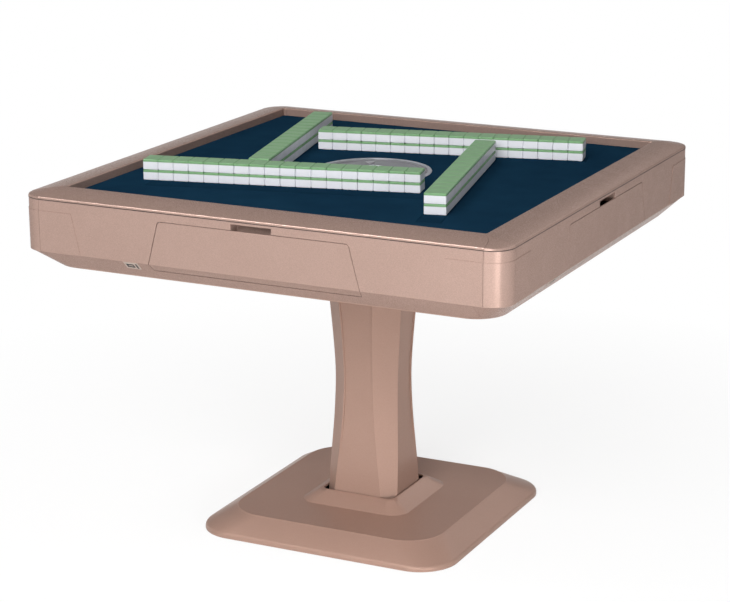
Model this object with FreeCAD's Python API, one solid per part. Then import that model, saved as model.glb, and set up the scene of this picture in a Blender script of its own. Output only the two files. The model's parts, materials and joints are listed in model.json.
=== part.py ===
import FreeCAD, Part
import math
import os

# Automatic tile-game table: a square case with four drawers on a waisted column and a square foot.
# Millimetres. +Z up, origin on the floor under the middle of the table. The front side faces -Y.
# What repeats on the four sides is modelled on the front and turned about Z.

Vector = FreeCAD.Vector
UP = Vector(0, 0, 1)
SIDES = ("front", "right", "back", "left")
CORNERS = ("front_right", "back_right", "back_left", "front_left")
RIGHT_ANGLE = 90.0

# ---- Case shell ---------------------------------------------------------------------------------
CASE_WIDTH = 980.0            # over the corner covers
CORNER_RADIUS = 42.0
CASE_BOTTOM_Z = 575.0
TAPER_HEIGHT = 35.0           # sloped lower border of the sides
TAPER_INSET = 35.0
PANEL_HEIGHT = 100.0          # upright part of the side panels
BOTTOM_CORNER_RADIUS = 58.0
PANEL_WALL = 3.0
PAD_RISE = 0.8                # the corner pads stand this proud of the panels
PAD_DROP = 22.0               # top edge of a pad below the seam
PAD_TOP_WIDTH = 112.0         # a pad's sloped edge from the case's edge, at its top and at the bend
PAD_BEND_WIDTH = 130.0
COVER_JOG = 18.0              # the corner covers grow this much wider on the taper
SEAM_GAP = 0.5
FLOOR_SHEET = 3.0

# ---- Top frame ----------------------------------------------------------------------------------
RAIL_WIDTH = 64.0
RAIL_EDGE_WIDTH = 4.5         # the steep front edge of the rail
RAIL_EDGE_RISE = 4.6
RAIL_CROWN_RISE = 13.0        # highest line above the seam
RAIL_CROWN_INSET = 60.0
RAIL_LIP_DROP = 1.6           # rounded inner edge
RAIL_WALL = 3.0
RAIL_TONGUE = 6.0             # tongue behind the panels, its length and thickness
RAIL_TONGUE_WALL = 2.0
RAIL_CROWN_FULLNESS = 0.66    # share of the crown's rise reached half way in
RAIL_INNER_CORNER = 3.0
CAP_END_RADIUS = 75.0         # the rails end in arcs that bulge towards the corner
CAP_END_OUTER = 41.0          # where such an arc meets the rail's edges, from the case's edge
CAP_END_INNER = 71.0
CAP_STRIP_COUNT = 2           # straight strips in each arc of a corner piece's section
FIT_GAP = 0.3

# ---- Playing surface ----------------------------------------------------------------------------
CLOTH_SINK = 3.0              # playing surface below the seam
CLOTH_THICKNESS = 2.0
BOARD_THICKNESS = 12.0
CLAMP_WIDTH = 14.0            # the board runs this far under the rails
TURN = 12.6                   # the four slots stand turned by this angle, degrees
SLOT_LINE = 196.0             # middle line of a slot from the table's middle
SLOT_END_GAP = 15.0           # end of a slot from the side of the next one
SLOT_LENGTH = 552.0
SLOT_WIDTH = 46.0
LIFT_GAP = 0.8

# ---- Tiles --------------------------------------------------------------------------------------
TILE_WIDTH = 30.0
TILE_PITCH = 30.3
TILE_LENGTH = 42.0
TILE_HEIGHT = 20.3
TILE_EDGE = 1.2
LAYER_COUNT = 2
STACK_COUNTS = {"front": 18, "right": 16, "back": 18, "left": 16}
WALL_SHIFTS = {"front": -139.0, "right": -92.5, "back": -116.0, "left": -123.0}
PUSHED_IN = 44.0              # the front wall has been pushed off its lift on to the cloth

# ---- Drawers ------------------------------------------------------------------------------------
DRAWER_TOP_DROP = 18.0        # top edge below the seam
DRAWER_TOP_HALF = 192.0
DRAWER_BEND_HALF = 214.0
DRAWER_LIP_DROP = 13.0        # the front runs this far down the taper
DRAWER_LIP_HALF = 211.0
DRAWER_LIP_CORNER = 2.0
DRAWER_CORNER = 7.0
DRAWER_GAP = 1.0
PULL_HALF = 41.0
PULL_HEIGHT = 12.0
PULL_POST = 19.0              # width of the insert's posts beside the pull
TRAY_WIDTH = 366.0
TRAY_END = 300.0              # inner end of a tray from the table's middle
TRAY_WALL = 2.5
TRAY_CORNER = 8.0
TRAY_FLOOR_Z = 612.0
TRAY_HEIGHT = 72.0
RUNNER_HEIGHT = 22.0
RUNNER_THICKNESS = 5.0
RUNNER_Z = 646.0              # middle of the drawer runners
CHANNEL_WALL = 2.0
RUNNER_FOOT = 18.0

# ---- Sockets in the taper -----------------------------------------------------------------------
SOCKET_SPACING = 39.0         # middle of a socket from the drawer front beside it
SOCKET_DROP = 7.5             # middle of the socket below the bend
SOCKET_WIDTH = 27.0
SOCKET_HEIGHT = 9.0
SOCKET_DEPTH = 14.0
SOCKET_WALL = 1.5
SOCKET_MOUTH_X = -4.0         # middle of the wide mouth and of the slot, along the socket
SOCKET_MOUTH_WIDTH = 12.6
SOCKET_MOUTH_HEIGHT = 5.2
SOCKET_SLOT_X = 9.8
SOCKET_SLOT_WIDTH = 2.6
SOCKET_SLOT_HEIGHT = 7.0

# ---- Pedestal -----------------------------------------------------------------------------------
BASE_WIDTH = 544.0
BASE_CORNER = 78.0
BASE_GROUND_GAP = 1.5
BASE_RIM_Z = 10.0
PLATEAU_INSET = 47.0
PLATEAU_Z = 39.0
PLATEAU_STEP = 1.5
PLATEAU_CORNER = 78.0
COLLAR_FOOT_HALF = 116.0
COLLAR_FOOT_CORNER = 37.5
COLLAR_HALF = 79.0
COLLAR_Z = 61.0
COLLAR_CORNER = 14.0
BASE_WALL = 3.5
FOOT_PLATE_INSET = 20.0       # edge of the foot plate from the edge of its cover
FOOT_PLATE_Z = 6.0
FOOT_PLATE_THICKNESS = 6.0
FOOT_PAD_RADIUS = 19.0
FOOT_PAD_TAPER = 3.0
FOOT_STUD_RADIUS = 5.0
FOOT_NUT_RADIUS = 10.0
FOOT_NUT_HEIGHT = 5.0
FOOT_INSET = 54.0             # middle of a levelling foot from the plate's edges
PILLAR_WIDTH = 16.0
PILLAR_INSET = 87.0           # middle of a pillar from the plate's edge
POST_WIDTH = 80.0
POST_WALL = 4.0
SLEEVE_WALL = 5.0
SLEEVE_HEIGHT = 48.0
GUSSET_REACH = 24.0
GUSSET_THICKNESS = 6.0
HEAD_PLATE_THICKNESS = 8.0
HEAD_PLATE_GAP = 1.5
COLUMN_WALL = 5.0
PANEL_SINK = 2.2              # sunk panel in each face of the column
PANEL_MARGIN = 3.0
BOLT_RADIUS = 4.0
BOLT_HEAD = 6.5
BOLT_HEAD_HEIGHT = 5.0
BOLT_X = 55.0

PANEL_START = 0.10            # the sunk panels fade in between these shares of the column's height
PANEL_FULL = 0.30
COLUMN_LEVEL_COUNT = 13
COLUMN_INNER_STEP = 2         # the plain inside takes every second level
HOLLOW_CHORD_COUNT = 3        # straight walls round each inner corner of the foot's cover

# Column cover: height as a share of its length, half width, corner chamfer.
COLUMN_SECTIONS = (
    (0.000, 76.7, 24.5),
    (0.086, 76.6, 25.5),
    (0.206, 74.6, 31.0),
    (0.330, 71.2, 34.5),
    (0.478, 69.1, 37.0),
    (0.582, 71.0, 38.5),
    (0.686, 75.2, 41.0),
    (1.000, 88.0, 44.0),
)

# ---- Chassis inside the case --------------------------------------------------------------------
BEAM_SETBACK = 60.0           # ends of the beams from the case's edge
BEAM_WIDTH = 30.0
BEAM_HEIGHT = 25.0
BEAM_WALL = 2.5
BEAM_Y = 35.0
STRUT_WIDTH = 25.0
STRUT_X = 252.0
STRUT_SETBACK = 18.0          # middle of a strut from the board's edge

# ---- Lifts --------------------------------------------------------------------------------------
LIFT_PLATE = 6.0
LIFT_SKIRT = 11.0
LIFT_SKIRT_WALL = 2.5
GUIDE_SPREAD = 150.0
GUIDE_LINE = 160.0
GUIDE_RADIUS = 4.0
BUSH_WIDTH = 18.0
BUSH_HEIGHT = 22.0
ARM_THICKNESS = 8.0
PUSH_ROD_RADIUS = 5.0
PUSH_ROD_LENGTH = 66.0
PUSH_TUBE_WIDTH = 22.0
PUSH_TUBE_HEIGHT = 66.0
PUSH_GAP = 0.6
LIFT_MOTOR_RADIUS = 14.0
LIFT_MOTOR_HEIGHT = 46.0
LIFT_MOTOR_SPACING = 29.0
GEARBOX_WIDTH = 26.0
GEARBOX_HEIGHT = 18.0

# ---- Middle: riser, turntable -------------------------------------------------------------------
TRIM_RADIUS = 116.5
TRIM_WIDTH = 9.0
TRIM_HEIGHT = 1.2
TRIM_SLEEVE_WALL = 2.5
RISER_GAP = 1.0
RISER_RIM = 10.0              # raised outer rim, and how far the ring inside it is sunk
RISER_SINK = 1.2
RISER_PLATE = 3.0
RISER_SKIRT = 9.0
RISER_SKIRT_WALL = 2.0
PIT_RADIUS = 46.0
PIT_DEPTH = 15.0
PIT_RIM = 3.0
DOME_SEAT = 4.0               # ledge in the pit that carries the dome: depth and width
DOME_LEDGE = 2.0
DOME_RISE = 9.0
DOME_WALL = 1.6
DIE_SIZE = 12.0
DICE_PLACES = ((-13.0, 6.0, 20.0), (12.0, -7.0, 65.0))
RISER_MOTOR_GAP = 1.0
STEM_RADIUS = 30.6
STEM_WALL = 3.0
STEM_FOOT_Z = 612.0
NUT_THICKNESS = 8.0
SCREW_RADIUS = 4.0
SCREW_TOP_Z = 683.0
TOWER_WALL = 3.0
TOWER_TOP_Z = 684.0
TOWER_FLANGE_RADIUS = 57.0
TOWER_FLANGE = 4.0
BUTTON_RADIUS = 9.0
BUTTON_PLACE = 76.0
BUTTON_PROUD = 1.5
BUTTON_LENGTH = 7.0
BUTTON_COLLAR = 1.5
BUTTON_TRAVEL_GAP = 0.4       # the collar hangs this far below the plate
BUTTON_ANGLES = {"roll_button": -60.0, "raise_button": 120.0}
RACE_HEIGHT = 4.0
RACE_OUTER_RADIUS = 50.0
DISC_RADIUS = 148.0
DISC_WALL = 3.0
DISC_HUB_WALL = 6.0
DISC_HUB_Z = 652.0
DISC_CONE_Z = 636.0
DISC_FLAT_Z = 623.0
DISC_FLAT_RADIUS = 112.0
DISC_RIM_Z = 642.0
DRIVE_SKIRT_RADIUS = 122.0
DRIVE_SKIRT_Z = 608.0
VANE_COUNT = 4
VANE_HEIGHT = 10.0
VANE_THICKNESS = 3.0
VANE_GAP = 2.0                # the vanes stand this far inside the flat
ROLLER_RADIUS = 15.0
ROLLER_CORE_RADIUS = 10.0
ROLLER_Z = 607.0
ROLLER_HEIGHT = 10.0
SHAFT_RADIUS = 3.0
DISC_MOTOR_RADIUS = 19.0
DISC_MOTOR_ANGLE = 57.6
MOTOR_HEIGHT = 24.0

# ---- Electrics ----------------------------------------------------------------------------------
BOX_GAP = 12.0                # between a strut and the foot of a box
BOX_SETBACK = 88.0            # middle line of the boxes from the case's edge
CONTROL_LENGTH = 100.0
CONTROL_WIDTH = 84.0
CONTROL_HEIGHT = 40.0
SUPPLY_HEIGHT = 52.0
BOX_WALL = 2.0
BOX_FOOT = 10.0
GLAND_SPACING = 68.0          # from the strut beside it
GLAND_RADIUS = 9.0
GLAND_BORE = 4.2
GLAND_LENGTH = 16.0
GLAND_COLLAR = 3.0
GLAND_NUT_RADIUS = 13.0
GLAND_NUT_HEIGHT = 4.0
SWITCH_SPACING = 50.0         # from the gland
SWITCH_LENGTH = 22.0
SWITCH_WIDTH = 14.0
SWITCH_DEPTH = 12.0
SWITCH_FLANGE = 2.0
SWITCH_WALL = 1.5
SWITCH_BORDER = 2.0
SWITCH_GAP = 0.6
SWITCH_TILT = 8.0
ROCKER_SPINE = 4.0

# ---- Worked out from the sizes above ------------------------------------------------------------
HALF = CASE_WIDTH / 2
BEND_Z = CASE_BOTTOM_Z + TAPER_HEIGHT
SEAM_Z = BEND_Z + PANEL_HEIGHT
CORNER_SEAM = HALF - CORNER_RADIUS
PAD_TOP_HALF = HALF - PAD_TOP_WIDTH
PAD_BEND_HALF = HALF - PAD_BEND_WIDTH
SOCKET_X = -DRAWER_BEND_HALF - SOCKET_SPACING
TAPER_SLOPE = TAPER_INSET / TAPER_HEIGHT
TAPER_STRETCH = math.hypot(1.0, TAPER_SLOPE)
FLOOR_Z = CASE_BOTTOM_Z + FLOOR_SHEET
FIELD_HALF = HALF - RAIL_WIDTH
CLOTH_Z = SEAM_Z - CLOTH_SINK
BOARD_Z = CLOTH_Z - CLOTH_THICKNESS
BOARD_UNDER_Z = BOARD_Z - BOARD_THICKNESS
BOARD_HALF = FIELD_HALF + CLAMP_WIDTH
DRAWER_TOP_Z = SEAM_Z - DRAWER_TOP_DROP
DRAWER_LIP_Z = BEND_Z - DRAWER_LIP_DROP
PANEL_INNER = HALF - PAD_RISE - PANEL_WALL
TRAY_DEPTH = PANEL_INNER - TRAY_END
BEAM_LENGTH = CASE_WIDTH - 2 * BEAM_SETBACK
STRUT_Y = BOARD_HALF - STRUT_SETBACK
BOX_PLACE = STRUT_X + STRUT_WIDTH / 2 + BOX_GAP + BOX_FOOT + CONTROL_LENGTH / 2
BOX_OFFSET = HALF - BOX_SETBACK
GLAND_X = STRUT_X + GLAND_SPACING
SWITCH_X = GLAND_X + SWITCH_SPACING
BEAM_TOP_Z = FLOOR_Z + BEAM_HEIGHT
FOOT_PLATE_TOP_Z = FOOT_PLATE_Z + FOOT_PLATE_THICKNESS
FOOT_PLATE_HALF = BASE_WIDTH / 2 - FOOT_PLATE_INSET
FOOT_PLACE = FOOT_PLATE_HALF - FOOT_INSET
PILLAR_PLACE = FOOT_PLATE_HALF - PILLAR_INSET
SLOT_SHIFT = SLOT_LINE - SLOT_WIDTH / 2 - SLOT_END_GAP - SLOT_LENGTH / 2
HEAD_PLATE_Z = CASE_BOTTOM_Z - HEAD_PLATE_THICKNESS
TOWER_INNER = STEM_RADIUS + FIT_GAP
TOWER_RADIUS = TOWER_INNER + TOWER_WALL
RISER_RADIUS = TRIM_RADIUS - TRIM_WIDTH - RISER_GAP
SLEEVE_RADIUS = TRIM_RADIUS - TRIM_WIDTH + TRIM_SLEEVE_WALL
OUTSIDE = 20.0                # how far cutting tools run past a wall
PAST = 1.0                    # the same, past a flat face
BOW = math.sqrt(0.5)          # middle of a quarter round


# ---- Plain shapes -------------------------------------------------------------------------------
def block(x0, x1, y0, y1, z0, z1):
    """Box between two corners."""
    return Part.makeBox(x1 - x0, y1 - y0, z1 - z0, Vector(x0, y0, z0))


def rod(radius, z0, z1, x=0.0, y=0.0):
    """Upright cylinder."""
    return Part.makeCylinder(radius, z1 - z0, Vector(x, y, z0))


def pipe(outer, inner, z0, z1, x=0.0, y=0.0):
    """Upright round tube."""
    return rod(outer, z0, z1, x, y).cut(rod(inner, z0 - PAST, z1 + PAST, x, y))


def polar(radius, degrees):
    """Plan position at a radius and an angle."""
    return radius * math.cos(math.radians(degrees)), radius * math.sin(math.radians(degrees))


def hexagon(radius, z0, z1, x, y):
    """Upright hexagonal bar, as a nut or a bolt head."""
    points = []
    for i in range(6):
        across, along = polar(radius, 60.0 * i)
        points.append(Vector(x + across, y + along, z0))
    return Part.Face(Part.makePolygon(points + points[:1])).extrude(UP * (z1 - z0))


def turned(shape, degrees):
    """Copy of a shape, turned about the table's upright axis."""
    copy = shape.copy()
    copy.rotate(Vector(0, 0, 0), UP, degrees)
    return copy


def moved(shape, x, y, z=0.0):
    """Copy of a shape, moved."""
    copy = shape.copy()
    copy.translate(Vector(x, y, z))
    return copy


def four_sides(shape):
    """The shape and its three quarter-turn copies."""
    return [turned(shape, RIGHT_ANGLE * i) for i in range(4)]


def rounded_square(half, radius, z):
    """Level square outline with round corners."""
    flat = half - radius
    bow = flat + radius * BOW
    edges = []
    for i in range(4):
        side = Part.makeLine(Vector(-flat, -half, z), Vector(flat, -half, z))
        bend = Part.Arc(Vector(flat, -half, z), Vector(bow, -bow, z), Vector(half, -flat, z)).toShape()
        edges += [turned(side, RIGHT_ANGLE * i), turned(bend, RIGHT_ANGLE * i)]
    return Part.Wire(edges)


def rounded_plate(half, radius, z0, z1):
    """Flat square plate with round corners."""
    return Part.Face(rounded_square(half, radius, z0)).extrude(UP * (z1 - z0))


def ruled(*wires):
    """Solid with straight walls through level outlines."""
    return Part.makeLoft(list(wires), True, True)


def stacked(outlines):
    """Solid with flat walls between level outlines that have as many points each."""
    faces = [Part.Face(Part.makePolygon(outline + outline[:1])) for outline in (outlines[0], outlines[-1])]
    for low, high in zip(outlines, outlines[1:]):
        for i in range(len(low)):
            faces.append(Part.Face(Part.makePolygon([low[i - 1], low[i], high[i], high[i - 1], low[i - 1]])))
    return solid_of(faces)


def solid_of(faces):
    """Solid that the faces close."""
    shell = Part.Shell(faces)
    shell.sewShape()
    solid = Part.Solid(shell)
    if solid.Volume < 0:
        solid.reverse()
    return solid


def rounded_outline(corners):
    """Closed outline in the plane y = 0 through corners (x, z, radius)."""
    edges = []
    joints = []
    count = len(corners)
    for i, (x, z, radius) in enumerate(corners):
        here = Vector(x, 0, z)
        back = (Vector(corners[i - 1][0], 0, corners[i - 1][1]) - here).normalize()
        ahead = (Vector(corners[(i + 1) % count][0], 0, corners[(i + 1) % count][1]) - here).normalize()
        if radius == 0:
            joints.append((here, here))
            continue
        half_angle = back.getAngle(ahead) / 2
        reach = radius / math.tan(half_angle)
        middle = here + (back + ahead).normalize() * (radius / math.sin(half_angle) - radius)
        joints.append((here + back * reach, here + ahead * reach))
        edges.append(Part.Arc(joints[-1][0], middle, joints[-1][1]).toShape())
    for i in range(count):
        edges.append(Part.makeLine(joints[i][1], joints[(i + 1) % count][0]))
    return Part.Wire(Part.__sortEdges__(edges))


def front_prism(corners, y0, y1):
    """Outline seen from the front, run from y0 to y1."""
    face = Part.Face(rounded_outline(corners))
    face.translate(Vector(0, y0, 0))
    return face.extrude(Vector(0, y1 - y0, 0))


def mirrored_pairs(corners):
    """Right-hand half of an outline, from top to bottom, completed with its mirror image."""
    return list(corners) + [(-x, z, radius) for x, z, radius in reversed(corners)]


def export(name, shapes):
    """Write one node, one or more separate solids, to its STEP file."""
    solids = [solid for shape in shapes for solid in shape.Solids]
    shape = solids[0] if len(solids) == 1 else Part.makeCompound(solids)
    shape.exportStep("parts/" + name + ".step")


# ---- Case shell ---------------------------------------------------------------------------------
def bend_height(inset):
    """Height of the bend in a surface inset mm inside the outer one."""
    return BEND_Z + inset * (TAPER_STRETCH - 1) / TAPER_SLOPE


def taper_half(inset, z):
    """Half width of that surface at a height on the taper."""
    return HALF - TAPER_SLOPE * (BEND_Z - z) - inset * TAPER_STRETCH


def taper_corner(inset, z):
    """Corner radius of that surface at a height on the taper."""
    share = max(0.0, (BEND_Z - z) / TAPER_HEIGHT)
    return CORNER_RADIUS + share * (BOTTOM_CORNER_RADIUS - CORNER_RADIUS) - inset


def case_block(inset, z_low, z_high):
    """Solid case, inset mm inside the outer surface, from z_low on the taper up to z_high."""
    bend = bend_height(inset)
    upright = rounded_plate(HALF - inset, CORNER_RADIUS - inset, bend, z_high)
    taper = ruled(rounded_square(taper_half(inset, z_low), taper_corner(inset, z_low), z_low),
                  rounded_square(HALF - inset, CORNER_RADIUS - inset, bend))
    return upright.fuse(taper)


def case_skin():
    """The four panels and four corner covers in one, before they are cut apart."""
    outer = case_block(PAD_RISE, FLOOR_Z, SEAM_Z)
    inner = case_block(PAD_RISE + PANEL_WALL, FLOOR_Z, SEAM_Z)
    skin = outer.cut(inner)
    pad_inset = PAD_RISE + PANEL_WALL / 2
    pads = rounded_plate(HALF, CORNER_RADIUS, BEND_Z, SEAM_Z - PAD_DROP)
    pads = pads.cut(rounded_plate(HALF - pad_inset, CORNER_RADIUS - pad_inset, BEND_Z, SEAM_Z - PAD_DROP))
    between = front_prism(mirrored_pairs([(PAD_TOP_HALF, SEAM_Z - PAD_DROP, 0), (PAD_BEND_HALF, BEND_Z, 0)]),
                          -HALF - OUTSIDE, -HALF + OUTSIDE)
    for tool in four_sides(between):
        pads = pads.cut(tool)
    return skin.fuse(pads)


def panel_region(grow):
    """Prism that holds the front panel: narrower on the taper, where the corner covers jog in."""
    upper = CORNER_SEAM + grow
    lower = CORNER_SEAM - COVER_JOG + grow
    corners = [(upper, SEAM_Z + PAST, 0), (upper, BEND_Z, 0), (lower, BEND_Z, 0), (lower, CASE_BOTTOM_Z, 0)]
    return front_prism(mirrored_pairs(corners), -HALF - OUTSIDE, -HALF + TAPER_INSET + OUTSIDE)


def drawer_corners(grow):
    """Outline of a drawer front, grown by a gap."""
    return mirrored_pairs([
        (DRAWER_TOP_HALF + grow, DRAWER_TOP_Z + grow, DRAWER_CORNER + grow),
        (DRAWER_BEND_HALF + grow, BEND_Z, 0),
        (DRAWER_LIP_HALF + grow, DRAWER_LIP_Z - grow, DRAWER_LIP_CORNER),
    ])


def drawer_prism(grow):
    """Prism through the front wall, for the drawer front and for its opening."""
    return front_prism(drawer_corners(grow), -HALF - OUTSIDE, -HALF + TAPER_INSET + OUTSIDE)


def socket_frame(shape):
    """Set a socket, modelled with its face at z = 0 looking up, into the front taper."""
    placed = shape.copy()
    tilt = 180.0 - math.degrees(math.atan2(TAPER_INSET, TAPER_HEIGHT))
    placed.rotate(Vector(0, 0, 0), Vector(1, 0, 0), tilt)
    z = BEND_Z - SOCKET_DROP
    placed.translate(Vector(SOCKET_X, -taper_half(PAD_RISE, z), z))
    return placed


def socket():
    """Socket block in the front taper: wide mouth and a narrow slot beside it."""
    half = SOCKET_WIDTH / 2
    rise = SOCKET_HEIGHT / 2
    body = block(-half, half, -rise, rise, -SOCKET_DEPTH, 0)
    holes = [(SOCKET_MOUTH_X, SOCKET_MOUTH_WIDTH / 2, SOCKET_MOUTH_HEIGHT / 2),
             (SOCKET_SLOT_X, SOCKET_SLOT_WIDTH / 2, SOCKET_SLOT_HEIGHT / 2)]
    for middle, reach, high in holes:
        body = body.cut(block(middle - reach, middle + reach, -high, high, SOCKET_WALL - SOCKET_DEPTH, PAST))
    return socket_frame(body)


def side_panel(skin):
    """Front panel, open for the drawer and the socket, and the insert above the drawer with the pull."""
    panel = skin.common(panel_region(-SEAM_GAP / 2))
    panel = panel.cut(drawer_prism(DRAWER_GAP))
    insert_half = PULL_HALF + PULL_POST
    span = block(-insert_half, insert_half, -HALF - PAST, -HALF + OUTSIDE, DRAWER_TOP_Z, SEAM_Z)
    pull = block(-PULL_HALF, PULL_HALF, -HALF - PAST, -HALF + OUTSIDE,
                 DRAWER_TOP_Z, DRAWER_TOP_Z + PULL_HEIGHT)
    reach = SOCKET_WIDTH / 2 + FIT_GAP
    rise = SOCKET_HEIGHT / 2 + FIT_GAP
    hole = socket_frame(block(-reach, reach, -rise, rise, -SOCKET_DEPTH, OUTSIDE))
    return Part.makeCompound([panel.cut(span).cut(hole), panel.common(span).cut(pull)])


def corner_cover(skin):
    """Front right corner cover, with the wider foot that it has on the taper."""
    corner = skin.common(block(HALF / 2, HALF + PAST, -HALF - PAST, -HALF / 2, CASE_BOTTOM_Z, SEAM_Z))
    region = panel_region(SEAM_GAP / 2)
    return corner.cut(region).cut(turned(region, RIGHT_ANGLE))


def case_floor():
    """Floor of the case: the panels stand on its edge, and the post and its bolts come up through it."""
    levels = [CASE_BOTTOM_Z, FLOOR_Z]
    floor = ruled(*[rounded_square(taper_half(PAD_RISE, z), taper_corner(PAD_RISE, z), z) for z in levels])
    low = CASE_BOTTOM_Z - PAST
    high = FLOOR_Z + PAST
    for x, y in bolt_places():
        floor = floor.cut(rod(BOLT_RADIUS + FIT_GAP, low, high, x, y))
    floor = floor.cut(rod(GLAND_RADIUS, low, high, GLAND_X, BOX_OFFSET))
    switch = block(-SWITCH_WIDTH / 2, SWITCH_WIDTH / 2, -SWITCH_LENGTH / 2, SWITCH_LENGTH / 2, low, high)
    return floor.cut(moved(switch, SWITCH_X, BOX_OFFSET))


# ---- Top frame ----------------------------------------------------------------------------------
def crown_arcs(drop):
    """Top line of the rail as arcs in (inset, height above the seam), lowered by drop."""
    edge = Vector(RAIL_EDGE_WIDTH, 0, RAIL_EDGE_RISE - drop)
    crown = Vector(RAIL_CROWN_INSET, 0, RAIL_CROWN_RISE - drop)
    middle = Vector((RAIL_EDGE_WIDTH + RAIL_CROWN_INSET) / 2, 0,
                    RAIL_EDGE_RISE + RAIL_CROWN_FULLNESS * (RAIL_CROWN_RISE - RAIL_EDGE_RISE) - drop)
    return edge, middle, crown


def rail_segments():
    """Closed section of a rail, outer edge at x = 0, seam at z = 0: lines have two points, arcs three."""
    edge, middle, crown = crown_arcs(0.0)
    low_edge, low_middle, low_crown = crown_arcs(RAIL_WALL)
    tongue_outer = PAD_RISE + PANEL_WALL + FIT_GAP
    tongue_inner = tongue_outer + RAIL_TONGUE_WALL
    inner_wall = RAIL_WIDTH - RAIL_WALL
    foot = Vector(0, 0, 0)
    edge_middle = Vector(RAIL_EDGE_WIDTH * (1 - BOW), 0, RAIL_EDGE_RISE * BOW)
    lip_middle = Vector(RAIL_CROWN_INSET + (RAIL_WIDTH - RAIL_CROWN_INSET) * BOW, 0,
                        RAIL_CROWN_RISE - RAIL_LIP_DROP * (1 - BOW))
    lip = Vector(RAIL_WIDTH, 0, RAIL_CROWN_RISE - RAIL_LIP_DROP)
    landing = Vector(RAIL_WIDTH, 0, -CLOTH_SINK)
    landing_inner = Vector(inner_wall, 0, -CLOTH_SINK)
    ceiling_inner = Vector(inner_wall, 0, low_crown.z)
    ceiling = Vector(tongue_inner, 0, low_edge.z)
    tongue = Vector(tongue_inner, 0, -RAIL_TONGUE)
    tongue_face = Vector(tongue_outer, 0, -RAIL_TONGUE)
    seat = Vector(tongue_outer, 0, 0)
    return [
        (foot, edge_middle, edge),
        (edge, middle, crown),
        (crown, lip_middle, lip),
        (lip, landing),
        (landing, landing_inner),
        (landing_inner, ceiling_inner),
        (ceiling_inner, low_crown),
        (low_crown, low_middle, ceiling),
        (ceiling, tongue),
        (tongue, tongue_face),
        (tongue_face, seat),
        (seat, foot),
    ]


def segment_edge(segment):
    """Edge of one piece of a section."""
    if len(segment) == 2:
        return Part.makeLine(*segment)
    return Part.Arc(*segment).toShape()


def rail_region(grow):
    """Plan of the front rail: straight, with both ends bulging towards the corners."""
    outer = Vector(HALF - CAP_END_OUTER, -HALF, 0)
    inner = Vector(HALF - CAP_END_INNER, -FIELD_HALF, 0)
    chord = inner - outer
    middle = (inner + outer) * 0.5
    away = Vector(chord.y, -chord.x, 0).normalize()
    if away.x > 0:
        away = away * -1
    centre = middle + away * math.sqrt(CAP_END_RADIUS ** 2 - (chord.Length / 2) ** 2)
    region = block(-centre.x, centre.x, -HALF - OUTSIDE, -FIELD_HALF + PAST, FLOOR_Z,
                   SEAM_Z + OUTSIDE)
    for side in (-1, 1):
        region = region.fuse(rod(CAP_END_RADIUS + grow, FLOOR_Z, SEAM_Z + OUTSIDE, side * centre.x, centre.y))
    return region


def frame_rail():
    """Front rail of the top frame: an extruded hollow section, cut to its curved ends."""
    face = Part.Face(Part.Wire([segment_edge(segment) for segment in rail_segments()]))
    face.rotate(Vector(0, 0, 0), UP, RIGHT_ANGLE)
    face.translate(Vector(-HALF, -HALF, SEAM_Z))
    return face.extrude(Vector(CASE_WIDTH, 0, 0)).common(rail_region(0.0))


def frame_cap():
    """Front right corner piece of the top frame, between two rails."""
    points = []
    for segment in rail_segments():
        found = segment_edge(segment).discretize(2 if len(segment) == 2 else CAP_STRIP_COUNT + 1)
        if found[0].distanceToPoint(segment[0]) > found[-1].distanceToPoint(segment[0]):
            found.reverse()
        points += found[:-1]
    narrow = (CORNER_RADIUS - RAIL_INNER_CORNER) / RAIL_WIDTH
    rings = [rounded_square(HALF - p.x, CORNER_RADIUS - narrow * p.x, SEAM_Z + p.z) for p in points]
    faces = []
    for i, ring in enumerate(rings):
        following = rings[(i + 1) % len(rings)]
        faces += [Part.makeRuledSurface(*pair) for pair in zip(ring.Edges, following.Edges)]
    quarter = block(HALF / 2, HALF + PAST, -HALF - PAST, -HALF / 2, FLOOR_Z, SEAM_Z + OUTSIDE)
    corner = solid_of(faces).common(quarter)
    return corner.cut(rail_region(SEAM_GAP)).cut(turned(rail_region(SEAM_GAP), RIGHT_ANGLE))


# ---- Playing surface ----------------------------------------------------------------------------
def slot_local(shape, side):
    """Turn a shape modelled on the front slot's line to the side with this number."""
    return turned(shape, TURN + RIGHT_ANGLE * side)


def surface_sheet(z0, z1, slot_grow, hole_radius):
    """Square sheet with the four turned slots and the round hole."""
    sheet = rounded_plate(BOARD_HALF, RAIL_INNER_CORNER, z0, z1)
    length = SLOT_LENGTH / 2 + slot_grow
    width = SLOT_WIDTH / 2 + slot_grow
    low, high = z0 - PAST, z1 + PAST
    slot = block(SLOT_SHIFT - length, SLOT_SHIFT + length, -SLOT_LINE - width, -SLOT_LINE + width, low, high)
    for side in range(4):
        sheet = sheet.cut(slot_local(slot, side))
    return sheet.cut(rod(hole_radius, low, high))


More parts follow.
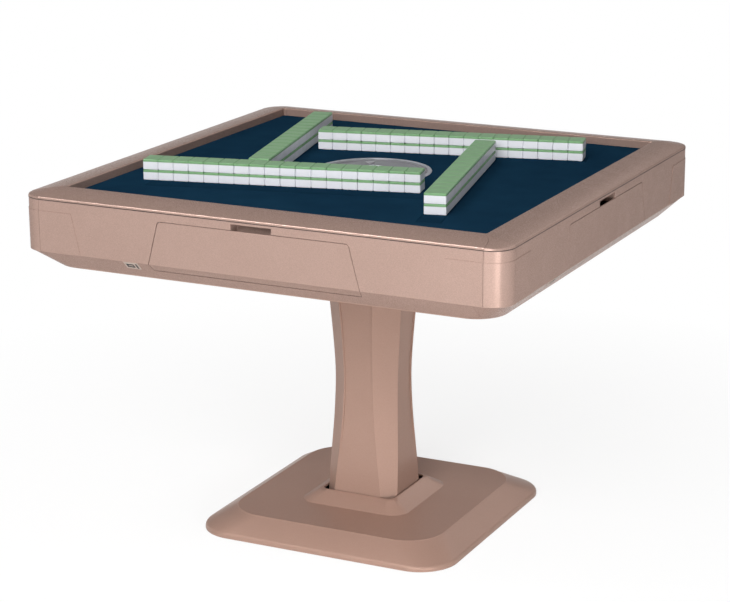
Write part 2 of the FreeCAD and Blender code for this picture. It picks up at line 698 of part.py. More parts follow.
def lift_tray():
    """Front lift: a plate level with the cloth, its skirt, two arms with guide blocks and the push rod."""
    half_length = SLOT_LENGTH / 2 - LIFT_GAP
    half_width = SLOT_WIDTH / 2 - LIFT_GAP
    under = CLOTH_Z - LIFT_PLATE
    low = under - LIFT_SKIRT
    x0, x1 = SLOT_SHIFT - half_length, SLOT_SHIFT + half_length
    y0, y1 = -SLOT_LINE - half_width, -SLOT_LINE + half_width
    wall = LIFT_SKIRT_WALL
    tray = block(x0, x1, y0, y1, low, CLOTH_Z)
    tray = tray.cut(block(x0 + wall, x1 - wall, y0 + wall, y1 - wall, low, under))
    for offset in (-GUIDE_SPREAD, GUIDE_SPREAD):
        x = SLOT_SHIFT + offset
        left, right = x - BUSH_WIDTH / 2, x + BUSH_WIDTH / 2
        inner = -GUIDE_LINE + BUSH_WIDTH / 2
        arm = block(left, right, -SLOT_LINE, inner, low - ARM_THICKNESS, low)
        web = block(left, right, -SLOT_LINE, -SLOT_LINE + wall, low, under)
        bush = block(left, right, -GUIDE_LINE - BUSH_WIDTH / 2, inner, low - BUSH_HEIGHT, low)
        tray = tray.fuse([arm, web, bush]).cut(rod(GUIDE_RADIUS + FIT_GAP, FLOOR_Z, CLOTH_Z, x, -GUIDE_LINE))
    push_rod = rod(PUSH_ROD_RADIUS, under - PUSH_ROD_LENGTH, under, SLOT_SHIFT, -SLOT_LINE)
    return tray.fuse(push_rod).removeSplitter()


def lift_guides():
    """The two round guide rods of the front lift, between the floor and the board."""
    places = (SLOT_SHIFT - GUIDE_SPREAD, SLOT_SHIFT + GUIDE_SPREAD)
    return [rod(GUIDE_RADIUS, FLOOR_Z, BOARD_UNDER_Z, x, -GUIDE_LINE) for x in places]


def lift_drive():
    """Push-rod drive of the front lift: tube, gearbox and motor."""
    motor_y = -SLOT_LINE - LIFT_MOTOR_SPACING
    half = PUSH_TUBE_WIDTH / 2
    tube = block(SLOT_SHIFT - half, SLOT_SHIFT + half, -SLOT_LINE - half, half - SLOT_LINE,
                 FLOOR_Z, FLOOR_Z + PUSH_TUBE_HEIGHT)
    reach = GEARBOX_WIDTH / 2
    gearbox = block(SLOT_SHIFT - reach, SLOT_SHIFT + reach, motor_y - reach, reach - SLOT_LINE,
                    FLOOR_Z, FLOOR_Z + GEARBOX_HEIGHT)
    motor = rod(LIFT_MOTOR_RADIUS, FLOOR_Z, FLOOR_Z + LIFT_MOTOR_HEIGHT, SLOT_SHIFT, motor_y)
    drive = tube.fuse([gearbox, motor])
    bore = rod(PUSH_ROD_RADIUS + PUSH_GAP, FLOOR_Z, FLOOR_Z + PUSH_TUBE_HEIGHT + PAST, SLOT_SHIFT, -SLOT_LINE)
    return drive.cut(bore)


def tiles_of_stack():
    """One stack of tiles, lying on their faces: plain blocks, and the top one with its edges broken."""
    half_width, half_length = TILE_WIDTH / 2, TILE_LENGTH / 2
    stack = []
    for layer in range(LAYER_COUNT):
        foot = layer * TILE_HEIGHT
        stack.append(block(-half_width, half_width, -half_length, half_length, foot, foot + TILE_HEIGHT))
    top = stack.pop()
    rim = [edge for edge in top.Edges if edge.BoundBox.ZMin > top.BoundBox.Center.z]
    return stack + [top.makeChamfer(TILE_EDGE, rim)]


def tile_wall(name):
    """Wall of tiles, two layers high, on the line of its side's slot."""
    line = -SLOT_LINE + (PUSHED_IN if name == "front" else 0.0)
    count = STACK_COUNTS[name]
    stack = tiles_of_stack()
    tiles = []
    for i in range(count):
        x = WALL_SHIFTS[name] + (i - (count - 1) / 2) * TILE_PITCH
        tiles += [moved(one, x, line, CLOTH_Z) for one in stack]
    return [slot_local(solid, SIDES.index(name)) for solid in tiles]


# ---- Drawers ------------------------------------------------------------------------------------
def drawer_front(skin):
    """Bent front plate of a drawer, with its lip on the taper."""
    return skin.common(drawer_prism(0.0))


def drawer_tray():
    """Open tray behind the drawer front, with the moving half of a runner on each side."""
    front = -PANEL_INNER
    half = TRAY_WIDTH / 2
    top = TRAY_FLOOR_Z + TRAY_HEIGHT
    middle = front + TRAY_DEPTH / 2

    def level(inset, z0, z1):
        corner = TRAY_CORNER - inset
        deep = TRAY_DEPTH / 2 - inset
        corners = [(half - inset, deep, corner), (half - inset, -deep, corner)]
        plan = Part.Face(rounded_outline(mirrored_pairs(corners)))
        plan.rotate(Vector(0, 0, 0), Vector(1, 0, 0), RIGHT_ANGLE)
        plan.translate(Vector(0, middle, z0))
        return plan.extrude(UP * (z1 - z0))

    tray = level(0.0, TRAY_FLOOR_Z, top).cut(level(TRAY_WALL, TRAY_FLOOR_Z + TRAY_WALL, top + PAST))
    for side in (-1, 1):
        x0, x1 = sorted((side * (half - TRAY_WALL / 2), side * (half + RUNNER_THICKNESS)))
        slide = block(x0, x1, front + TRAY_CORNER, front + TRAY_DEPTH - TRAY_CORNER,
                      RUNNER_Z - RUNNER_HEIGHT / 2, RUNNER_Z + RUNNER_HEIGHT / 2)
        tray = tray.fuse(slide)
    return tray


def drawer_runner():
    """Fixed runner at the right of the front drawer: a channel on a folded bracket on the floor."""
    inner = TRAY_WIDTH / 2 + RUNNER_THICKNESS + 2 * FIT_GAP
    outer = inner + CHANNEL_WALL
    reach = TRAY_WIDTH / 2 + 2 * FIT_GAP
    half_height = RUNNER_HEIGHT / 2 + FIT_GAP
    y0 = -PANEL_INNER + TRAY_CORNER
    y1 = -PANEL_INNER + TRAY_DEPTH - TRAY_CORNER
    low, high = RUNNER_Z - half_height, RUNNER_Z + half_height
    channel = block(reach, outer, y0, y1, low - CHANNEL_WALL, high + CHANNEL_WALL)
    channel = channel.cut(block(reach - PAST, inner, y0 - PAST, y1 + PAST, low, high))
    foot_y = y0 + TAPER_INSET
    web = block(inner, outer, foot_y, y1, FLOOR_Z, RUNNER_Z)
    foot = block(inner, outer + RUNNER_FOOT, foot_y, y1, FLOOR_Z, FLOOR_Z + CHANNEL_WALL)
    return channel.fuse([web, foot])


# ---- Pedestal -----------------------------------------------------------------------------------
def octagon_points(half, chamfer, z):
    """Corners of a level square with chamfered corners."""
    flat = half - chamfer
    points = []
    for i in range(4):
        turn = FreeCAD.Rotation(UP, RIGHT_ANGLE * i)
        points += [turn.multVec(Vector(x, -half, z)) for x in (-flat, flat)]
    return points


def octagon(half, chamfer, z):
    """Level square outline with chamfered corners."""
    points = octagon_points(half, chamfer, z)
    return Part.makePolygon(points + points[:1])


def column_size(share):
    """Half width and chamfer of the column at a share of its height: a smooth curve through its sections."""
    last = len(COLUMN_SECTIONS) - 2
    i = max(k for k in range(last + 1) if COLUMN_SECTIONS[k][0] <= share)
    before, start = COLUMN_SECTIONS[max(i - 1, 0)], COLUMN_SECTIONS[i]
    end, after = COLUMN_SECTIONS[i + 1], COLUMN_SECTIONS[min(i + 2, last + 1)]
    span = end[0] - start[0]
    t = (share - start[0]) / span
    sizes = []
    for k in (1, 2):
        slope_in = (end[k] - before[k]) / (end[0] - before[0]) * span
        slope_out = (after[k] - start[k]) / (after[0] - start[0]) * span
        sizes.append((2 * t ** 3 - 3 * t ** 2 + 1) * start[k] + (t ** 3 - 2 * t ** 2 + t) * slope_in
                     + (3 * t ** 2 - 2 * t ** 3) * end[k] + (t ** 3 - t ** 2) * slope_out)
    return sizes


def column_stations():
    """Evenly spaced levels of the column: height, half width, chamfer and how far the panels are sunk."""
    stations = []
    for i in range(COLUMN_LEVEL_COUNT):
        share = i / (COLUMN_LEVEL_COUNT - 1)
        ramp = min(1.0, max(0.0, (share - PANEL_START) / (PANEL_FULL - PANEL_START)))
        sink = PANEL_SINK * (2.0 * ramp - 1.0 if ramp < 1.0 else 1.0)
        half, chamfer = column_size(share)
        stations.append((FOOT_PLATE_TOP_Z + share * (CASE_BOTTOM_Z - FOOT_PLATE_TOP_Z), half, chamfer, sink))
    return stations


def column_solid():
    """Waisted column with chamfered corners, as one smooth loft."""
    wires = [octagon(half, chamfer, z) for z, half, chamfer, _ in column_stations()]
    return Part.makeLoft(wires, True, False)


def column_hollow():
    """Room inside the column's cover, with straight walls from level to level."""
    chamfer_loss = COLUMN_WALL * (2 - math.sqrt(2))
    outlines = [octagon_points(half - COLUMN_WALL, chamfer - chamfer_loss, z)
                for z, half, chamfer, _ in column_stations()[::COLUMN_INNER_STEP]]
    return stacked(outlines)


def column_cover():
    """Moulded cover round the post: a waisted octagon with a sunk panel that fades out near the foot."""
    cover = column_solid().cut(column_hollow())
    wires = []
    for z, half, chamfer, sink in column_stations():
        x = half - chamfer - PANEL_MARGIN
        face = half - sink
        points = [Vector(-x, -face, z), Vector(-x, -half - OUTSIDE, z), Vector(x, -half - OUTSIDE, z),
                  Vector(x, -face, z)]
        wires.append(Part.makePolygon(points + points[:1]))
    for tool in four_sides(Part.makeLoft(wires, True, False)):
        cover = cover.cut(tool)
    return cover


def base_levels():
    """Half width, corner radius and height of the base cover's outlines, from the rim to the collar."""
    half = BASE_WIDTH / 2
    plateau = half - PLATEAU_INSET
    top = PLATEAU_Z + PLATEAU_STEP
    return [
        (half, BASE_CORNER, BASE_RIM_Z),
        (plateau, PLATEAU_CORNER, PLATEAU_Z),
        (plateau - PLATEAU_STEP, PLATEAU_CORNER - PLATEAU_STEP, top),
        (COLLAR_FOOT_HALF, COLLAR_FOOT_CORNER, top),
        (COLLAR_HALF + BASE_WALL, COLLAR_CORNER + BASE_WALL, COLLAR_Z),
    ]


def base_solid():
    """Filled base cover: rim, slope, the plateau's step and the collar."""
    rim, plateau, step, foot, collar = [rounded_square(*level) for level in base_levels()]
    lowest = rounded_plate(BASE_WIDTH / 2, BASE_CORNER, BASE_GROUND_GAP, BASE_RIM_Z)
    return lowest.fuse([ruled(rim, plateau), ruled(plateau, step), ruled(foot, collar)])


def chorded_points(half, radius, z):
    """Corners of a level square whose round corners are replaced by a few straight chords."""
    flat = half - radius
    points = []
    for i in range(4):
        turn = FreeCAD.Rotation(UP, RIGHT_ANGLE * i)
        for k in range(HOLLOW_CHORD_COUNT + 1):
            across, along = polar(radius, RIGHT_ANGLE * (k / HOLLOW_CHORD_COUNT - 1))
            points.append(turn.multVec(Vector(flat + across, along - flat, z)))
    return points


def base_hollow():
    """Room under the base cover, a wall's thickness inside it."""
    half = BASE_WIDTH / 2 - BASE_WALL
    rise = [(level[0] - BASE_WALL / 2, level[1] - BASE_WALL / 2, level[2] - BASE_WALL)
            for level in base_levels()[1:]]
    rise[2] = (*rise[2][:2], rise[2][2] + PLATEAU_STEP / 2)
    rows = [(half, BASE_CORNER - BASE_WALL, BASE_GROUND_GAP - PAST),
            (half, BASE_CORNER - BASE_WALL, BASE_RIM_Z - BASE_WALL / 2)] + rise
    return stacked([chorded_points(*row) for row in rows])


def base_cover():
    """Low square cover of the foot, with a plateau and a collar round the column."""
    cover = base_solid().cut(base_hollow())
    return cover.cut(rounded_plate(COLLAR_HALF, COLLAR_CORNER, 0, COLLAR_Z + PAST))


def base_frame():
    """Steel foot: plate, socket for the post with gussets, and pillars that carry the cover."""
    top = FOOT_PLATE_TOP_Z
    frame = rounded_plate(FOOT_PLATE_HALF, BASE_CORNER - FOOT_PLATE_INSET, FOOT_PLATE_Z, top)
    sleeve = POST_WIDTH / 2 + SLEEVE_WALL
    frame = frame.fuse(block(-sleeve, sleeve, -sleeve, sleeve, top, top + SLEEVE_HEIGHT))
    inner = sleeve - PAST
    gusset = [(inner, top, 0), (sleeve + GUSSET_REACH, top, 0), (inner, top + SLEEVE_HEIGHT, 0)]
    for tool in four_sides(front_prism(gusset, -GUSSET_THICKNESS / 2, GUSSET_THICKNESS / 2)):
        frame = frame.fuse(tool)
    half = POST_WIDTH / 2
    frame = frame.cut(block(-half, half, -half, half, top, top + SLEEVE_HEIGHT + PAST))
    for x in (-FOOT_PLACE, FOOT_PLACE):
        for y in (-FOOT_PLACE, FOOT_PLACE):
            frame = frame.cut(rod(FOOT_STUD_RADIUS + FIT_GAP, 0, top + PAST, x, y))
    reach = PILLAR_WIDTH / 2
    pillar = block(-reach, reach, -PILLAR_PLACE - reach, reach - PILLAR_PLACE, top, COLLAR_Z)
    pillar = pillar.common(base_hollow())
    return frame.fuse(four_sides(pillar))


def levelling_foot(x, y):
    """Round pad with its stud and nut."""
    pad = Part.makeCone(FOOT_PAD_RADIUS, FOOT_PAD_RADIUS - FOOT_PAD_TAPER, FOOT_PLATE_Z, Vector(x, y, 0))
    stud = rod(FOOT_STUD_RADIUS, FOOT_PLATE_Z, FOOT_PLATE_TOP_Z, x, y)
    nut = hexagon(FOOT_NUT_RADIUS, FOOT_PLATE_TOP_Z, FOOT_PLATE_TOP_Z + FOOT_NUT_HEIGHT, x, y)
    return pad.fuse([stud, nut])


def column_post():
    """Square steel tube from the foot plate to the head plate."""
    half = POST_WIDTH / 2
    inner = half - POST_WALL
    post = block(-half, half, -half, half, FOOT_PLATE_TOP_Z, HEAD_PLATE_Z)
    return post.cut(block(-inner, inner, -inner, inner, FOOT_PLATE_TOP_Z - PAST, HEAD_PLATE_Z + PAST))


def bolt_places():
    """The four bolts that hold the case to the head plate."""
    return [(x, y) for x in (-BOLT_X, BOLT_X) for y in (-BEAM_Y, BEAM_Y)]


def head_plate():
    """Chamfered plate on the post, inside the top of the column cover."""
    _, half, chamfer = COLUMN_SECTIONS[-1]
    inset = COLUMN_WALL + HEAD_PLATE_GAP
    plate = Part.Face(octagon(half - inset, chamfer, HEAD_PLATE_Z)).extrude(UP * HEAD_PLATE_THICKNESS)
    for x, y in bolt_places():
        plate = plate.cut(rod(BOLT_RADIUS + FIT_GAP, HEAD_PLATE_Z - PAST, CASE_BOTTOM_Z + PAST, x, y))
    return plate


def head_bolt(x, y):
    """Bolt through head plate, floor and beam, with its nut."""
    shank = rod(BOLT_RADIUS, HEAD_PLATE_Z, BEAM_TOP_Z, x, y)
    head = hexagon(BOLT_HEAD, HEAD_PLATE_Z - BOLT_HEAD_HEIGHT, HEAD_PLATE_Z, x, y)
    nut = hexagon(BOLT_HEAD, BEAM_TOP_Z, BEAM_TOP_Z + BOLT_HEAD_HEIGHT, x, y)
    return shank.fuse([head, nut])


# ---- Chassis ------------------------------------------------------------------------------------
def chassis_beam(y):
    """Channel across the floor, open towards it."""
    half = BEAM_LENGTH / 2
    y0, y1 = y - BEAM_WIDTH / 2, y + BEAM_WIDTH / 2
    beam = block(-half, half, y0, y1, FLOOR_Z, BEAM_TOP_Z)
    beam = beam.cut(block(-half - PAST, half + PAST, y0 + BEAM_WALL, y1 - BEAM_WALL,
                          FLOOR_Z - PAST, BEAM_TOP_Z - BEAM_WALL))
    for x in (-BOLT_X, BOLT_X):
        beam = beam.cut(rod(BOLT_RADIUS + FIT_GAP, FLOOR_Z - PAST, BEAM_TOP_Z + PAST, x, y))
    return beam


def board_struts():
    """Eight square tubes between the floor and the board, two on each side."""
    half = STRUT_WIDTH / 2
    inner = half - BEAM_WALL
    struts = []
    for x in (-STRUT_X, STRUT_X):
        tube = block(-half, half, -half, half, FLOOR_Z, BOARD_UNDER_Z)
        tube = tube.cut(block(-inner, inner, -inner, inner, FLOOR_Z - PAST, BOARD_UNDER_Z + PAST))
        struts += four_sides(moved(tube, x, -STRUT_Y))
    return struts


# ---- Middle -------------------------------------------------------------------------------------
def revolved(points):
    """Solid of revolution about Z from a closed outline of (radius, z) points."""
    outline = [Vector(r, 0, z) for r, z in points]
    return Part.Face(Part.makePolygon(outline + outline[:1])).revolve(Vector(0, 0, 0), UP, 360)


def centre_trim():
    """Ring that lines the round hole: a flange on the cloth and a sleeve through the board."""
    inner = TRIM_RADIUS - TRIM_WIDTH
    top = CLOTH_Z + TRIM_HEIGHT
    return revolved([
        (inner, BOARD_UNDER_Z), (SLEEVE_RADIUS, BOARD_UNDER_Z), (SLEEVE_RADIUS, CLOTH_Z),
        (TRIM_RADIUS, CLOTH_Z), (TRIM_RADIUS - TRIM_HEIGHT / 2, top), (inner, top),
    ])


def riser_housing():
    """Disc that closes the round hole: raised rim, sunk ring, dice pit and the stem with its nut."""
    top = CLOTH_Z + TRIM_HEIGHT
    sunk = top - RISER_SINK
    under = sunk - RISER_PLATE
    rim = RISER_RADIUS - RISER_RIM
    skirt = RISER_RADIUS - RISER_SKIRT_WALL
    pit_floor = top - PIT_DEPTH
    pit_wall = PIT_RADIUS + PIT_RIM
    pit_under = pit_floor - RISER_PLATE
    bore = SCREW_RADIUS + FIT_GAP
    stem = STEM_RADIUS - STEM_WALL
    nut_top = STEM_FOOT_Z + NUT_THICKNESS
    housing = revolved([
        (bore, STEM_FOOT_Z), (STEM_RADIUS, STEM_FOOT_Z), (STEM_RADIUS, pit_under), (pit_wall, pit_under),
        (pit_wall, under), (skirt, under), (skirt, top - RISER_SKIRT), (RISER_RADIUS, top - RISER_SKIRT),
        (RISER_RADIUS, top), (rim, top), (rim, sunk), (pit_wall, sunk), (pit_wall, top), (PIT_RADIUS, top),
        (PIT_RADIUS, top - DOME_SEAT), (PIT_RADIUS - DOME_LEDGE, top - DOME_SEAT),
        (PIT_RADIUS - DOME_LEDGE, pit_floor), (0, pit_floor), (0, pit_under), (stem, pit_under),
        (stem, nut_top), (bore, nut_top),
    ])
    for angle in BUTTON_ANGLES.values():
        x, y = polar(BUTTON_PLACE, angle)
        housing = housing.cut(rod(BUTTON_RADIUS + FIT_GAP, under - PAST, top + PAST, x, y))
    return housing


def button(angle):
    """Round button in the sunk ring, with a collar below that keeps it in."""
    x, y = polar(BUTTON_PLACE, angle)
    sunk = CLOTH_Z + TRIM_HEIGHT - RISER_SINK
    under = sunk - RISER_PLATE
    cap = rod(BUTTON_RADIUS, under - BUTTON_LENGTH, sunk + BUTTON_PROUD, x, y)
    collar = rod(BUTTON_RADIUS + BUTTON_COLLAR, under - BUTTON_LENGTH, under - BUTTON_TRAVEL_GAP, x, y)
    return cap.fuse(collar)


def dice_dome():
    """Clear shallow dome over the dice pit."""
    base_radius = PIT_RADIUS - FIT_GAP
    base_z = CLOTH_Z + TRIM_HEIGHT - DOME_SEAT
    height = DOME_RISE + DOME_SEAT
    ball = (base_radius ** 2 + height ** 2) / (2 * height)
    centre = Vector(0, 0, base_z + height - ball)
    outer = Part.makeSphere(ball, centre)
    inner = Part.makeSphere(ball - DOME_WALL, centre)
    return outer.cut(inner).common(rod(base_radius, base_z, base_z + height + PAST))


def dice():
    """Two dice on the floor of the pit."""
    floor = CLOTH_Z + TRIM_HEIGHT - PIT_DEPTH
    half = DIE_SIZE / 2
    die = block(-half, half, -half, half, 0, DIE_SIZE)
    return [moved(turned(die, angle), x, y, floor) for x, y, angle in DICE_PLACES]


def riser_tower():
    """Guide tube of the riser on its flange, with the race that carries the turntable."""
    flange = pipe(TOWER_FLANGE_RADIUS, TOWER_INNER, BEAM_TOP_Z, BEAM_TOP_Z + TOWER_FLANGE)
    tube = pipe(TOWER_RADIUS, TOWER_INNER, BEAM_TOP_Z, TOWER_TOP_Z)
    top = BEAM_TOP_Z + TOWER_FLANGE
    race = pipe(RACE_OUTER_RADIUS, TOWER_RADIUS, top, top + RACE_HEIGHT)
    return flange.fuse([tube, race])


def riser_drive():
    """Motor between the beams and the screw that lifts the riser."""
    motor = rod(BEAM_Y - BEAM_WIDTH / 2 - RISER_MOTOR_GAP, FLOOR_Z, BEAM_TOP_Z)
    return motor.fuse(rod(SCREW_RADIUS, BEAM_TOP_Z, SCREW_TOP_Z))


def turntable():
    """Shuffling disc: hub on the race, cone, flat, rim, drive skirt and stirring vanes."""
    bore = TOWER_RADIUS + 2 * FIT_GAP
    hub = bore + DISC_HUB_WALL
    foot = BEAM_TOP_Z + TOWER_FLANGE + RACE_HEIGHT + FIT_GAP
    under = DISC_FLAT_Z - DISC_WALL
    skirt = DRIVE_SKIRT_RADIUS - DISC_WALL
    rim = DISC_RADIUS - DISC_WALL
    disc = revolved([
        (bore, foot), (hub, foot), (hub, DISC_CONE_Z - DISC_WALL), (DISC_FLAT_RADIUS, under),
        (skirt, under), (skirt, DRIVE_SKIRT_Z), (DRIVE_SKIRT_RADIUS, DRIVE_SKIRT_Z),
        (DRIVE_SKIRT_RADIUS, under), (rim, under), (DISC_RADIUS, DISC_FLAT_Z), (DISC_RADIUS, DISC_RIM_Z),
        (rim, DISC_RIM_Z), (rim, DISC_FLAT_Z), (DISC_FLAT_RADIUS, DISC_FLAT_Z), (hub, DISC_CONE_Z),
        (hub, DISC_HUB_Z), (bore, DISC_HUB_Z),
    ])
    vane = block(DISC_FLAT_RADIUS + VANE_GAP, rim - VANE_GAP, -VANE_THICKNESS / 2, VANE_THICKNESS / 2,
                 DISC_FLAT_Z - PAST, DISC_FLAT_Z + VANE_HEIGHT)
    for i in range(VANE_COUNT):
        disc = disc.fuse(turned(vane, 360.0 / VANE_COUNT * i))
    return disc


def drive_axis():
    """Plan position of the turntable's drive."""
    return polar(DRIVE_SKIRT_RADIUS + FIT_GAP + ROLLER_RADIUS, DISC_MOTOR_ANGLE)


def drive_roller():
    """Roller with a rubber tyre that turns the disc by its skirt."""
    x, y = drive_axis()
    bore = SHAFT_RADIUS + FIT_GAP
    top = ROLLER_Z + ROLLER_HEIGHT
    core = pipe(ROLLER_CORE_RADIUS, bore, ROLLER_Z, top, x, y)
    tyre = pipe(ROLLER_RADIUS, ROLLER_CORE_RADIUS, ROLLER_Z, top, x, y)
    return [core, tyre]


def turntable_motor():
    """Motor on the floor under the roller, with its shaft."""
    x, y = drive_axis()
    motor = rod(DISC_MOTOR_RADIUS, FLOOR_Z, FLOOR_Z + MOTOR_HEIGHT, x, y)
    return motor.fuse(rod(SHAFT_RADIUS, FLOOR_Z + MOTOR_HEIGHT, ROLLER_Z + ROLLER_HEIGHT, x, y))


# ---- Electrics ----------------------------------------------------------------------------------
def closed_box(length, width, height):
    """Lidded box on the floor of the case, with a foot strip on both sides."""
    box = block(-length / 2, length / 2, -width / 2, width / 2, FLOOR_Z, FLOOR_Z + height)
    inner = block(BOX_WALL - length / 2, length / 2 - BOX_WALL, BOX_WALL - width / 2, width / 2 - BOX_WALL,
                  FLOOR_Z + BOX_WALL, FLOOR_Z + height - BOX_WALL)
    reach = length / 2 + BOX_FOOT
    feet = block(-reach, reach, -width / 4, width / 4, FLOOR_Z, FLOOR_Z + BOX_WALL)
    return box.fuse(feet).cut(inner)


def power_gland():
    """Gland in the floor where a mains lead would enter."""
    foot = CASE_BOTTOM_Z - GLAND_LENGTH / 2
    body = rod(GLAND_RADIUS, foot, FLOOR_Z + GLAND_LENGTH / 2, GLAND_X, BOX_OFFSET)
    collar = rod(GLAND_RADIUS + GLAND_COLLAR, CASE_BOTTOM_Z - GLAND_COLLAR, CASE_BOTTOM_Z,
                 GLAND_X, BOX_OFFSET)
    nut = hexagon(GLAND_NUT_RADIUS, FLOOR_Z, FLOOR_Z + GLAND_NUT_HEIGHT, GLAND_X, BOX_OFFSET)
    bore = rod(GLAND_BORE, foot - PAST, FLOOR_Z + GLAND_LENGTH, GLAND_X, BOX_OFFSET)
    return body.fuse([collar, nut]).cut(bore)


def switch_frame():
    """Bezel and body of the power switch, set in the floor."""
    half_x = SWITCH_WIDTH / 2
    half_y = SWITCH_LENGTH / 2
    low = CASE_BOTTOM_Z - SWITCH_FLANGE
    top = CASE_BOTTOM_Z + SWITCH_DEPTH
    wide_x = half_x + SWITCH_BORDER
    wide_y = half_y + SWITCH_BORDER
    bezel = block(-wide_x, wide_x, -wide_y, wide_y, low, CASE_BOTTOM_Z)
    body = block(-half_x, half_x, -half_y, half_y, low, top)
    room_x = half_x - SWITCH_WALL
    room_y = half_y - SWITCH_WALL
    room = block(-room_x, room_x, -room_y, room_y, low - PAST, top - SWITCH_WALL)
    return moved(bezel.fuse(body).cut(room), SWITCH_X, BOX_OFFSET)


def switch_rocker():
    """Rocker, hung on the cross axis through the bezel, its pressed end level with the bezel."""
    half_y = SWITCH_LENGTH / 2 - SWITCH_WALL - SWITCH_GAP
    half_x = SWITCH_WIDTH / 2 - SWITCH_WALL - SWITCH_GAP
    rise = math.tan(math.radians(SWITCH_TILT)) * half_y
    face = CASE_BOTTOM_Z - SWITCH_FLANGE
    shoulder = CASE_BOTTOM_Z + SWITCH_FLANGE
    spine = CASE_BOTTOM_Z + SWITCH_DEPTH / 2
    corners = [(-half_y, face + rise), (0, face), (half_y, face - rise), (half_y - PAST, shoulder),
               (ROCKER_SPINE / 2, spine), (-ROCKER_SPINE / 2, spine), (PAST - half_y, shoulder)]
    points = [Vector(-half_x, y, z) for y, z in corners]
    rocker = Part.Face(Part.makePolygon(points + points[:1])).extrude(Vector(2 * half_x, 0, 0))
    return moved(rocker, SWITCH_X, BOX_OFFSET)


# ---- Build and write ----------------------------------------------------------------------------
def write_case():
    """Panels, covers, floor and drawers."""
    skin = case_skin()
    panel = side_panel(skin)
    cover = corner_cover(skin)
    front = drawer_front(skin)
    tray = drawer_tray()
    rail = frame_rail()
    cap = frame_cap()
    for i, side in enumerate(SIDES):
        angle = RIGHT_ANGLE * i
        export("side_panel_" + side, [turned(panel, angle)])
        export("drawer_front_" + side, [turned(front, angle)])
        export("drawer_tray_" + side, [turned(tray, angle)])
        export("frame_rail_" + side, [turned(rail, angle)])
    for i, corner in enumerate(CORNERS):
        export("corner_cover_" + corner, [turned(cover, RIGHT_ANGLE * i)])
    export("frame_caps", four_sides(cap))
    export("case_floor", [case_floor()])
    runner = drawer_runner()
    runners = four_sides(runner) + four_sides(runner.mirror(Vector(0, 0, 0), Vector(1, 0, 0)))
    export("drawer_runners", runners)
    export("charging_sockets", four_sides(socket()))


def write_surface():
    """Board, cloth, lifts and tiles."""
    hole = SLEEVE_RADIUS + FIT_GAP
    export("playing_board", [surface_sheet(BOARD_UNDER_Z, BOARD_Z, 0.0, hole)])
    export("playing_cloth", [surface_sheet(BOARD_Z, CLOTH_Z, 0.0, hole)])
    tray = lift_tray()
    guides = lift_guides()
    drive = lift_drive()
    for i, side in enumerate(SIDES):
        export("lift_tray_" + side, [slot_local(tray, i)])
        export("tile_wall_" + side, tile_wall(side))
    export("lift_drives", [slot_local(solid, i) for i in range(4) for solid in guides + [drive]])


def write_pedestal():
    """Foot, column and head plate."""
    export("base_frame", [base_frame()])
    export("base_cover", [base_cover()])
    places = [(x, y) for x in (-FOOT_PLACE, FOOT_PLACE) for y in (-FOOT_PLACE, FOOT_PLACE)]
    export("levelling_feet", [levelling_foot(x, y) for x, y in places])
    export("column_post", [column_post()])
    export("column_cover", [column_cover()])
    export("head_plate", [head_plate()])
    export("head_bolts", [head_bolt(x, y) for x, y in bolt_places()])


def write_middle():
    """Chassis, riser and turntable."""
    export("chassis_beams", [chassis_beam(-BEAM_Y), chassis_beam(BEAM_Y)])
    export("board_struts", board_struts())
    export("centre_trim", [centre_trim()])
    export("riser_housing", [riser_housing()])
    export("dice_dome", [dice_dome()])
    export("dice", dice())
    for name, angle in BUTTON_ANGLES.items():
        export(name, [button(angle)])
    export("riser_tower", [riser_tower()])
    export("riser_drive", [riser_drive()])
    export("turntable", [turntable()])
    export("turntable_motor", [turntable_motor()])
    export("drive_roller", drive_roller())


def write_electrics():
    """Control box, power supply, gland and power switch."""
    control = closed_box(CONTROL_LENGTH, CONTROL_WIDTH, CONTROL_HEIGHT)
    supply = closed_box(CONTROL_LENGTH, CONTROL_WIDTH, SUPPLY_HEIGHT)
    export("control_box", [moved(control, -BOX_PLACE, BOX_OFFSET)])
    export("power_supply", [moved(supply, BOX_PLACE, -BOX_OFFSET)])
    export("power_gland", [power_gland()])
    export("switch_frame", [switch_frame()])
    export("switch_rocker", [switch_rocker()])


os.makedirs("parts", exist_ok=True)
write_case()
write_surface()
write_pedestal()
write_middle()
write_electrics()
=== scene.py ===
"""Dress the mahjong table with drawers: finishes, softened shells, tiles, cloth and a plain studio."""

import json
import logging
import math
from dataclasses import dataclass
from enum import Enum
from functools import cache, cached_property, reduce
from typing import Callable

import bmesh
import bpy
from bmesh.types import BMEdge, BMesh, BMFace, BMVert
from bpy.types import Material, Node, NodeSocket, NodeTree, Object
from mathutils import Matrix, Vector

